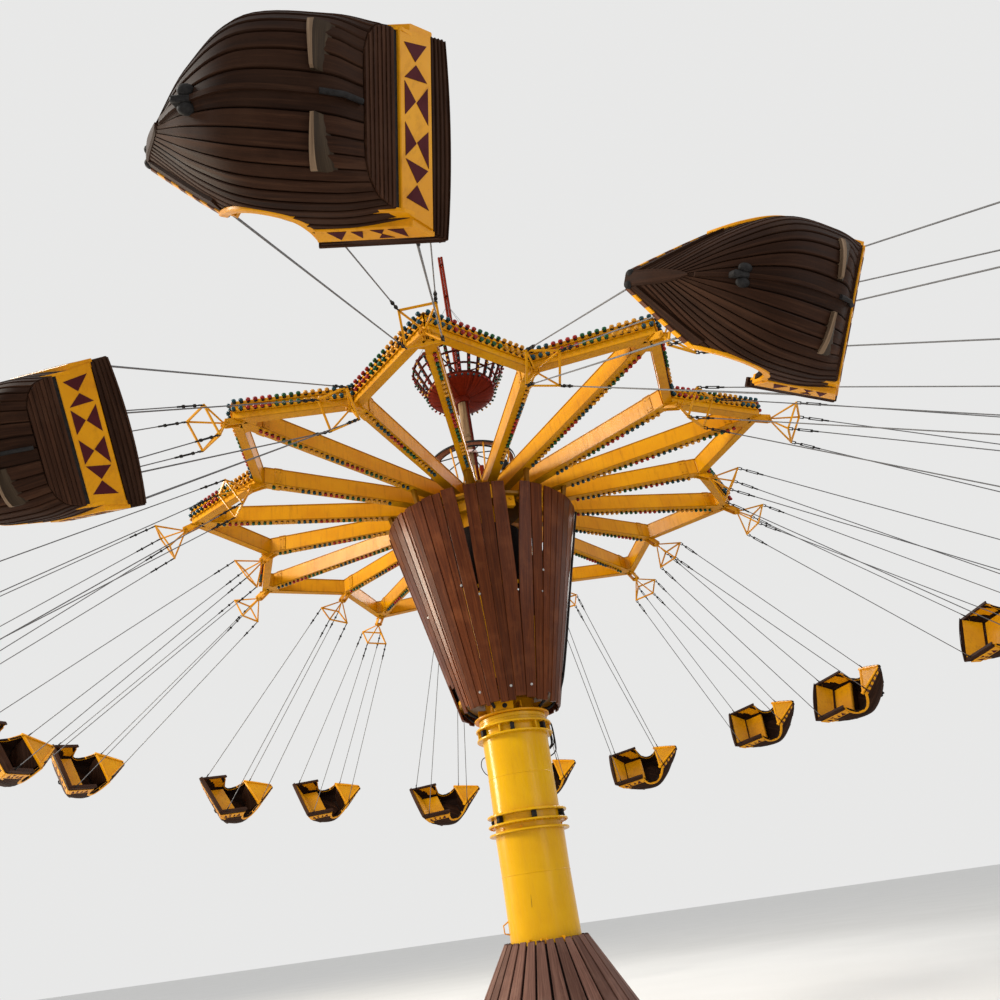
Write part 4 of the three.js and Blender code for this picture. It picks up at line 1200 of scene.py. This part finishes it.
def make_hull():
    wood = Form()
    for sign in (1, -1):
        gap = 0.05 / PLANKS_A_SIDE
        edges = steps(PLANKS_A_SIDE)
        for low, high in zip(edges, edges[1:]):
            plank_run(wood, low + gap, high - gap, rng.uniform(0.25, 0.75), sign)
        # a lining behind the gaps, toned darkest: painted shade in the gaps between the planks
        for n in range(4):
            plank_run(wood, n / 4, (n + 1) / 4, 0.0, sign, 0.014)
    # boards across the stern, from its foot up to the yellow band
    edges = steps(7, 0.512, BAND_FOOT + 0.018)
    for low, high in zip(edges, edges[1:]):
        rings = []
        for slant, out in ((low, 0.012), (high + 0.002, 0.006)):
            section = board(stern_half(slant) - 0.004, -SHEET, out - 0.004, out)
            rings.append([transom(y, slant, d) for y, d in section])
        wood.sweep(rings, rng.uniform(0.65, 1.15), along_section=True)
    # the stern's upper boards and their rail, bowed up in the middle
    for i in range(4):
        rings = []
        for y in steps(14, -1, 1):
            rise = STERN_RISE * (1 - y * y)
            low, high = (mix(BAND_TOP - 0.006, -rise, n / 4) for n in (i, i + 1))
            section = ((low, -SHEET), (low, 0.012), (mix(low, high, 0.12), 0.016), (high, 0.006),
                       (high, -SHEET))
            rings.append([transom(y * stern_half(max(0.0, low)), slant, out) for slant, out in section])
        wood.sweep(rings, rng.uniform(0.3, 0.65))
    section = ((0.012, -0.006), (0.014, 0.006), (0.006, 0.012), (-0.05, 0.012), (-0.055, -0.004))
    rise = STERN_RISE + 0.002
    wood.sweep([[transom(y * 0.485, rise * (y * y - 1) - 0.004, d) + UP * h for d, h in section]
                for y in steps(14, -1, 1)], 0.7)
    for sign in SIDES:
        # the dark boards above the side's yellow band, and the rail on them
        edges = steps(2, -0.004, SIDE_TOP)
        for top, base in zip(edges, edges[1:]):
            section = ((base, -SHEET), (base, 0.014), (top, 0.008), (top, -SHEET))
            rings = [[side_band(panel(t, z, 0.004, 0.1, -0.01), z, d) for z, d in section] for t in steps(8)]
            wood.sweep(mirrored(rings, sign), rng.uniform(0.3, 0.6))
        section = ((-0.012, -0.045), (-0.012, 0.012), (-0.006, 0.016), (0.006, 0.016), (0.01, 0.012),
                   (0.01, -0.045))
        rings = [[side_band(x, 0, out) + UP * z for z, out in section]
                 for x in steps(8, STERN_X + 0.002, PANEL_X + 0.004)]
        wood.sweep(mirrored(rings, sign), 0.7)
        # broad plates along the bow, and the bare squares under the deck's edge
        rings = [[top - BOW_OUT * 0.02, top + BOW_OUT * 0.002, base + BOW_OUT * 0.006, base - BOW_OUT * 0.016]
                 for top, base in map(bow_plate, steps(14))]
        wood.sweep(mirrored(rings, sign), 0.42)
        for n in range(1, 10, 2):
            edge_square(wood, n, sign, PALE_TONE)
    # the keel strip, and the stem that closes the bow
    section = ((-0.016, 0.02), (0.016, 0.02), (0.012, -0.014), (-0.012, -0.014))
    wood.sweep([[hull(t, 0.0) + vec(0, y, z) for y, z in section] for t in steps(24, 0.02, 0.97)], 0.35)
    stem = smooth(STATIONS[-1], 4)
    rings = []
    for i, p in enumerate(stem):
        way = heading(stem, i)
        ahead = vec(way.z, 0, -way.x).normalized()
        half = p.y + 0.006
        rings.append([vec(p.x, y, p.z) + ahead * d for y, d in board(half, -0.04, 0.004, 0.012, half * 0.3)])
    wood.sweep(rings)
    # the floor, the bulkhead and the board under the seat's front
    floor = [(-0.34, -0.26), (0.05, -0.27), (0.27, -0.12), (0.27, 0.12), (0.05, 0.27), (-0.34, 0.26)]
    wood.sweep([[vec(x, y, z) for x, y in floor] for z in (-0.475, -0.455)], 0.4)
    for x, side in ((0.29, [(0.13, -0.42), (0.21, -0.34), (0.26, -0.2), (0.27, DECK_Z - 0.03)]),
                    (PANEL_X - 0.02, [(0.33, -0.45), (0.38, -0.36), (0.4, SEAT_Z)])):
        outline = side + [(-y, z) for y, z in side[::-1]]
        wood.sweep([[vec(x + d, y, z) for y, z in outline] for d in (0.0, 0.02)], 0.35)
    return wood.mesh("boat_hull", HULL, 24)


def make_trim():
    trim = Form()
    # the band across the stern
    section = ((BAND_FOOT, -SHEET), (BAND_FOOT, BAND_OUT - 0.005), (BAND_FOOT - 0.005, BAND_OUT),
               (BAND_TOP + 0.005, BAND_OUT), (BAND_TOP, BAND_OUT - 0.005), (BAND_TOP, -SHEET))
    trim.sweep([[transom(y * (stern_half(slant) - 0.002), slant, out) for slant, out in section]
                for y in steps(10, -1, 1)], 0.46)
    for sign in SIDES:
        # the band along the side
        section = ((SIDE_FOOT, -SHEET), (SIDE_FOOT, 0.02), (SIDE_FOOT + 0.005, SIDE_OUT),
                   (SIDE_TOP - 0.003, SIDE_OUT), (SIDE_TOP, 0.02), (SIDE_TOP, -SHEET))
        rings = [[side_band(panel(t, z, -0.012), z, out) for z, out in section] for t in steps(8)]
        trim.sweep(mirrored(rings, sign))
        # the board round the cut-out
        path = smooth([(x, 0, z) for x, z in CUT[1:-1]], 5)
        section = ((0.0, -0.05), (0.0, 0.002), (0.006, 0.007), (0.04, 0.007), (0.046, 0.002), (0.046, -0.012),
                   (0.012, -0.05))
        rings = []
        for i, p in enumerate(path):
            way = heading(path, i)
            y = hull_side(p.x, p.z - 0.02)
            rings.append([p + vec(way.z * n, y + out - n * 0.06, -way.x * n) for n, out in section])
        trim.sweep(mirrored(rings, sign), 0.56)
        # the lining of the seat's side
        rings = [[vec(x, y, z) for y, z in ((0.448, -0.02), (0.462, -0.02), (0.425, low), (0.408, low))]
                 for x, low in ((-0.7, -0.14), (-0.62, -0.25), (-0.45, -0.3), (-0.16, -0.3))]
        trim.sweep(mirrored(rings, sign), 0.52)
        # the deck's raised borders, and every other square under its edge
        start, nose = vec(DECK_X - 0.04, 0.352, DECK_Z + 0.004), vec(0.745, 0.03, 0.05)
        inner = vec(-0.55, -0.83, 0) * 0.05
        rings = []
        for t in steps(4):
            p = mix(start, nose, t)
            lean = inner * (1 - 0.5 * t)
            up = UP * 0.016
            rings.append([p - up, p + UP * 0.012, p + inner * 0.15 + up, p + lean + up, p + lean - up])
        trim.sweep(mirrored(rings, sign), 0.6)
        for n in range(0, 10, 2):
            edge_square(trim, n, sign, 0.62)
    # the deck's sheet, and its rear edge
    trim.sweep([[vec(x, y, z) for y, z in oblong(-half, half, low, low + 0.012)]
                for x, half, low in ((DECK_X - 0.03, 0.33, DECK_Z - 0.006), (0.73, 0.03, 0.036))], 0.4)
    trim.block((DECK_X - 0.045, -0.34, DECK_Z - 0.02), (DECK_X - 0.005, 0.34, DECK_Z + 0.022), 0.6,
               bevel=0.006)
    # the bench and its back
    trim.block((-0.53, -0.385, SEAT_Z - 0.03), (PANEL_X + 0.01, 0.385, SEAT_Z + 0.03), 0.4, bevel=0.018)
    trim.sweep([[transom(y, s, d) for y, d in board(stern_half(s) - 0.045, -0.032, -0.055, -0.062, 0.01)]
                for s in (0.03, 0.33)], 0.45, along_section=True)
    return trim.mesh("boat_trim", GOLD, 24)


# the triangles on the stern's band and on the side's, in shares of its length and height
STERN_MOTIF = (((0.07, 0.14), (0.075, 0.84), (0.175, 0.48)), ((0.185, 0.48), (0.29, 0.14), (0.285, 0.84)),
               ((0.305, 0.14), (0.4, 0.48), (0.495, 0.14)), ((0.3, 0.86), (0.41, 0.5), (0.495, 0.86)),
               ((0.535, 0.14), (0.63, 0.48), (0.725, 0.14)), ((0.53, 0.86), (0.625, 0.5), (0.725, 0.86)),
               ((0.745, 0.14), (0.75, 0.84), (0.83, 0.5)), ((0.845, 0.48), (0.94, 0.14), (0.945, 0.84)))
SIDE_MOTIF = (((0.1, 0.15), (0.26, 0.15), (0.18, 0.85)), ((0.3, 0.15), (0.44, 0.15), (0.37, 0.5)),
              ((0.3, 0.85), (0.44, 0.85), (0.37, 0.5)), ((0.52, 0.2), (0.64, 0.2), (0.58, 0.78)),
              ((0.68, 0.15), (0.88, 0.15), (0.78, 0.85)))


def make_motif():
    """The maroon triangles on the bands: thin plates with a hair's relief."""
    motif = Form()

    def triangle(points):
        a, b, c = points
        away = (b - a).cross(c - a).normalized()
        centre = sum(points, Vector()) / 3
        if away.dot(vec(centre.x, centre.y, 0)) < 0:
            away = -away
        motif.sweep([[p - away * 0.002 for p in points], [p + away * 0.0025 for p in points]])

    for shape in STERN_MOTIF:
        points = []
        for f, g in shape:
            slant = mix(BAND_FOOT, BAND_TOP, g)
            points.append(transom(mix(-1, 1, f) * (stern_half(slant) - 0.01), slant, BAND_OUT))
        triangle(points)
    for sign in SIDES:
        for shape in SIDE_MOTIF:
            heights = [(f, mix(SIDE_FOOT, SIDE_TOP, g)) for f, g in shape]
            triangle(*mirrored([[side_band(panel(f, z), z, SIDE_OUT) for f, z in heights]], sign))
    return motif.mesh("boat_motif", MAROON)


def make_fins():
    """Two tapered fins across the bottom, broad at their outer ends; the front and bottom faces are toned
    pale and the top and rear faces dark, painted light and shade on the fin.
    """
    fins = Form()
    for sign in SIDES:
        rings = []
        for t in (0.0, 0.03, 0.2, 0.4, 0.6, 0.8, 0.97, 1.0):
            p = hull(0.26, mix(0.33, 0.08, t))
            wide = mix(0.055, 0.03, t)
            edge = p.z - mix(0.028, 0.042, t) * (1.0 if 0 < t < 1 else 0.6)
            rings.append([vec(p.x + wide * x, p.y, z) for x, z in
                          ((-1.3, p.z + 0.03), (1, p.z + 0.03), (0.8, edge), (0.25, edge))])
        # pale front and bottom, dark top and rear: painted light and shade
        fins.sweep(mirrored(rings, sign), [0.3, 3.0, PALE_TONE, 0.35])
    return fins.mesh("boat_fins", FIN)


def ball(form, at, size, tone, stretch):
    x, y, z = (size * s for s in stretch)
    form.sweep([[at + vec(cos(t) * x, sin(t) * cos(u) * y, sin(t) * sin(u) * z) for u in turns(14)]
                for t in steps(10, 0, pi)[1:-1]], tone)


def make_fittings():
    dark = Form()
    # two rounded caps on the nose, and the small fitting under the bow
    for side in SIDES:
        ball(dark, vec(0.735, side * 0.034, 0.018), 0.03, 0.4, (1.0, 0.9, 1.15))
        ball(dark, vec(0.3, side * 0.04, -0.525), 0.032, 0.5, (1.3, 0.9, 0.8))
    dark.block((0.27, -0.018, -0.545), (0.37, 0.018, -0.47), 0.4, bevel=0.01)
    # a pipe from between the fins to the stern
    dark.tube([(-0.3, 0, -0.545), (-0.4, 0, -0.5), (-0.466, 0, -0.43)], 0.013, 10, 0.4)
    # the shadow gap under the stern's yellow band, and the rope eyes
    section = ((BAND_FOOT + 0.02, -SHEET), (BAND_FOOT + 0.02, 0.002), (BAND_FOOT - 0.002, 0.002),
               (BAND_FOOT - 0.002, -SHEET))
    dark.sweep([[transom(y * (stern_half(s) - 0.008), s, out) for s, out in section]
                for y in steps(8, -1, 1)], 0.2)
    for eye in (STERN_EYE, BOW_EYE):
        for side in SIDES:
            at = vec(eye.x, eye.y * side, eye.z)
            dark.tube([at - UP * 0.02, at + UP * 0.012], 0.018, 10, 0.4)
            dark.tube([at + UP * 0.01, at + UP * 0.1], [0.013, 0.01])
    return dark.mesh("boat_fittings", BLACK, 40)


# A hanger, in the swing's frame: x forward, y outward, z up towards the pin


def cable_ends():
    """The bracket corner and the boat's eye for each of the four cables."""
    turn = Matrix.Rotation(TWIST, 3, "Z")
    for sx in SIDES:
        for sy in SIDES:
            eye = STERN_EYE if sx < 0 else BOW_EYE
            foot = turn @ vec(eye.x + BOAT_SHIFT, eye.y * sy, 0)
            foot.z = -PENDULUM + eye.z + 0.003
            yield vec(sx * BRACKET_HALF, sy * BRACKET_HALF, -BRACKET_DROP), foot


def make_bracket():
    bracket = Form()
    half, edge = BRACKET_HALF, BRACKET_BAR / 2
    foot, top = -BRACKET_DROP, -BRACKET_DROP + BRACKET_BAR
    for sign in SIDES:
        at = sign * half
        bracket.block((-half - edge, at - edge, foot), (half + edge, at + edge, top), 0.45, bevel=0.003)
        bracket.block((at - edge, -half, foot + 0.001), (at + edge, half, top - 0.001), 0.45, bevel=0.003)
        for side in SIDES:
            bracket.tube([vec(sign * 0.01, side * 0.022, -0.03), vec(at, side * half, foot + edge)],
                         [0.012, 0.0145], 8, 0.45)
    # the eye that turns on the pin
    section = ((-0.029, 0.0212), (-0.029, 0.037), (0.029, 0.037), (0.029, 0.0212))
    eye = [[vec(x, cos(t) * r, sin(t) * r) for x, r in section] for t in turns(24)]
    bracket.sweep(eye, 0.45, closed=True)
    return bracket.mesh("hanger_bracket", GOLD)


def make_ropes():
    ropes, links = Form(), Form()
    for corner, foot in cable_ends():
        way = (foot - corner).normalized()
        side = way.orthogonal().normalized()

        def link_bar(low, high, radius, low_off=0.0, high_off=0.0):
            links.tube([corner + way * low + side * low_off, corner + way * high + side * high_off], radius)

        # a shackle, a turnbuckle of two bars, and a swaged end
        for s in SIDES:
            link_bar(-0.004, 0.05, 0.007, 0.016 * s, 0.016 * s)
            link_bar(0.13, 0.3, 0.007, 0.013 * s, 0.013 * s)
        link_bar(0.045, 0.045, 0.008, -0.022, 0.022)
        link_bar(0.045, 0.13, 0.009)
        for at in (0.13, 0.3):
            link_bar(at - 0.012, at + 0.012, 0.022)
        link_bar(0.3, 0.39, [0.011, 0.013])
        ropes.tube([corner + way * at for at in steps(6, 0.37, (foot - corner).length)], 0.0075)
    return ropes.mesh("hanger_ropes", CABLE, 60), links.mesh("hanger_links", BLACK, 40)


def hang_boats():
    """Every boat's pieces get meshes of their own, made in place, so that each box round them is tight."""
    rope_mesh, link_mesh = make_ropes()
    hanging = ((make_bracket(), "bracket", "gold_paint", "hanger"), (rope_mesh, "ropes", "steel", None),
               (link_mesh, "turnbuckles", "rubber", None))
    riding = ((make_hull(), "hull", "hull_wood", "boat"), (make_trim(), "trim", "gold_paint", None),
              (make_motif(), "motif", "nest_wood", None), (make_fins(), "fins", "hull_wood", None),
              (make_fittings(), "fittings", "rubber", None))
    for k, degrees in enumerate(SWINGS):
        number = f"{k + 1:02d}"
        rest = radians(degrees)
        out = polar(1, k * ARM_STEP)
        swung, top = cos(rest) * out + sin(rest) * UP, cos(rest) * UP - sin(rest) * out
        pin = polar(reach(k) + PIN_OUT, k * ARM_STEP, PIN_Z)
        swing = axes(vec(out.y, -out.x, 0), swung, top, pin)
        boat = (swing @ Matrix.Translation((0, 0, -PENDULUM)) @ Matrix.Rotation(TWIST, 4, "Z")
                @ Matrix.Translation((BOAT_SHIFT, 0, 0)))
        for place, pieces in ((swing, hanging), (boat, riding)):
            for pattern, name, slot, replaced in pieces:
                data = pattern.copy()
                data.transform(place)
                nodes = [f"{replaced}_{number}"] if replaced else ()
                stand(data, f"{name}_{number}", f"boat_{number}", slot, nodes)


hang_boats()

# The studio: a pale floor, a pale surround and soft lights

FLOOR_HALF = 150


def make_stage():
    data = bpy.data.meshes.new("floor")
    corners = [(x, y, -0.002) for x, y in oblong(-FLOOR_HALF, FLOOR_HALF, -FLOOR_HALF, FLOOR_HALF)]
    data.from_pydata(corners, [], [(0, 1, 2, 3)])
    look = Look("floor_paint", Roughness=0.8)
    cloud = look.noise(look.at, 0.5, 3.0)
    look.set("Base Color", look.ramp(cloud, (0.3, (0.62, 0.62, 0.615)), (0.7, (0.65, 0.65, 0.645))))
    data.materials.append(look.material)
    link("floor", data)
    world = bpy.data.worlds.new("studio")
    world.use_nodes = True
    surround = world.node_tree.nodes["Background"]
    surround.inputs["Color"].default_value = (0.95, 0.95, 0.945, 1)
    surround.inputs["Strength"].default_value = 0.85
    bpy.context.scene.world = world
    for name, at, towards, size, power, colour in (
            ("key", (-15, -11, 17), (0, 0, 5.5), 7, 4200, (1.0, 0.95, 0.86)),
            ("side", (-27, 4.6, 9.4), (0, 0, 5.5), 8, 7200, (1.0, 0.9, 0.72)),
            ("fill", (13, -12, 7), (0, 0, 5), 10, 500, (0.95, 0.97, 1.0)),
            ("back", (6, 14, 15), (0, 0, 7), 9, 1200, (1.0, 0.98, 0.95))):
        light = bpy.data.lights.new(name, "AREA")
        light.shape = "DISK"
        light.size = size
        light.energy = power
        light.color = colour
        lamp = link(name, light)
        lamp.location = at
        lamp.rotation_euler = (Vector(towards) - Vector(at)).to_track_quat("-Z", "Y").to_euler()
    bpy.context.scene.view_settings.view_transform = "Standard"


make_stage()

bpy.context.view_layer.update()
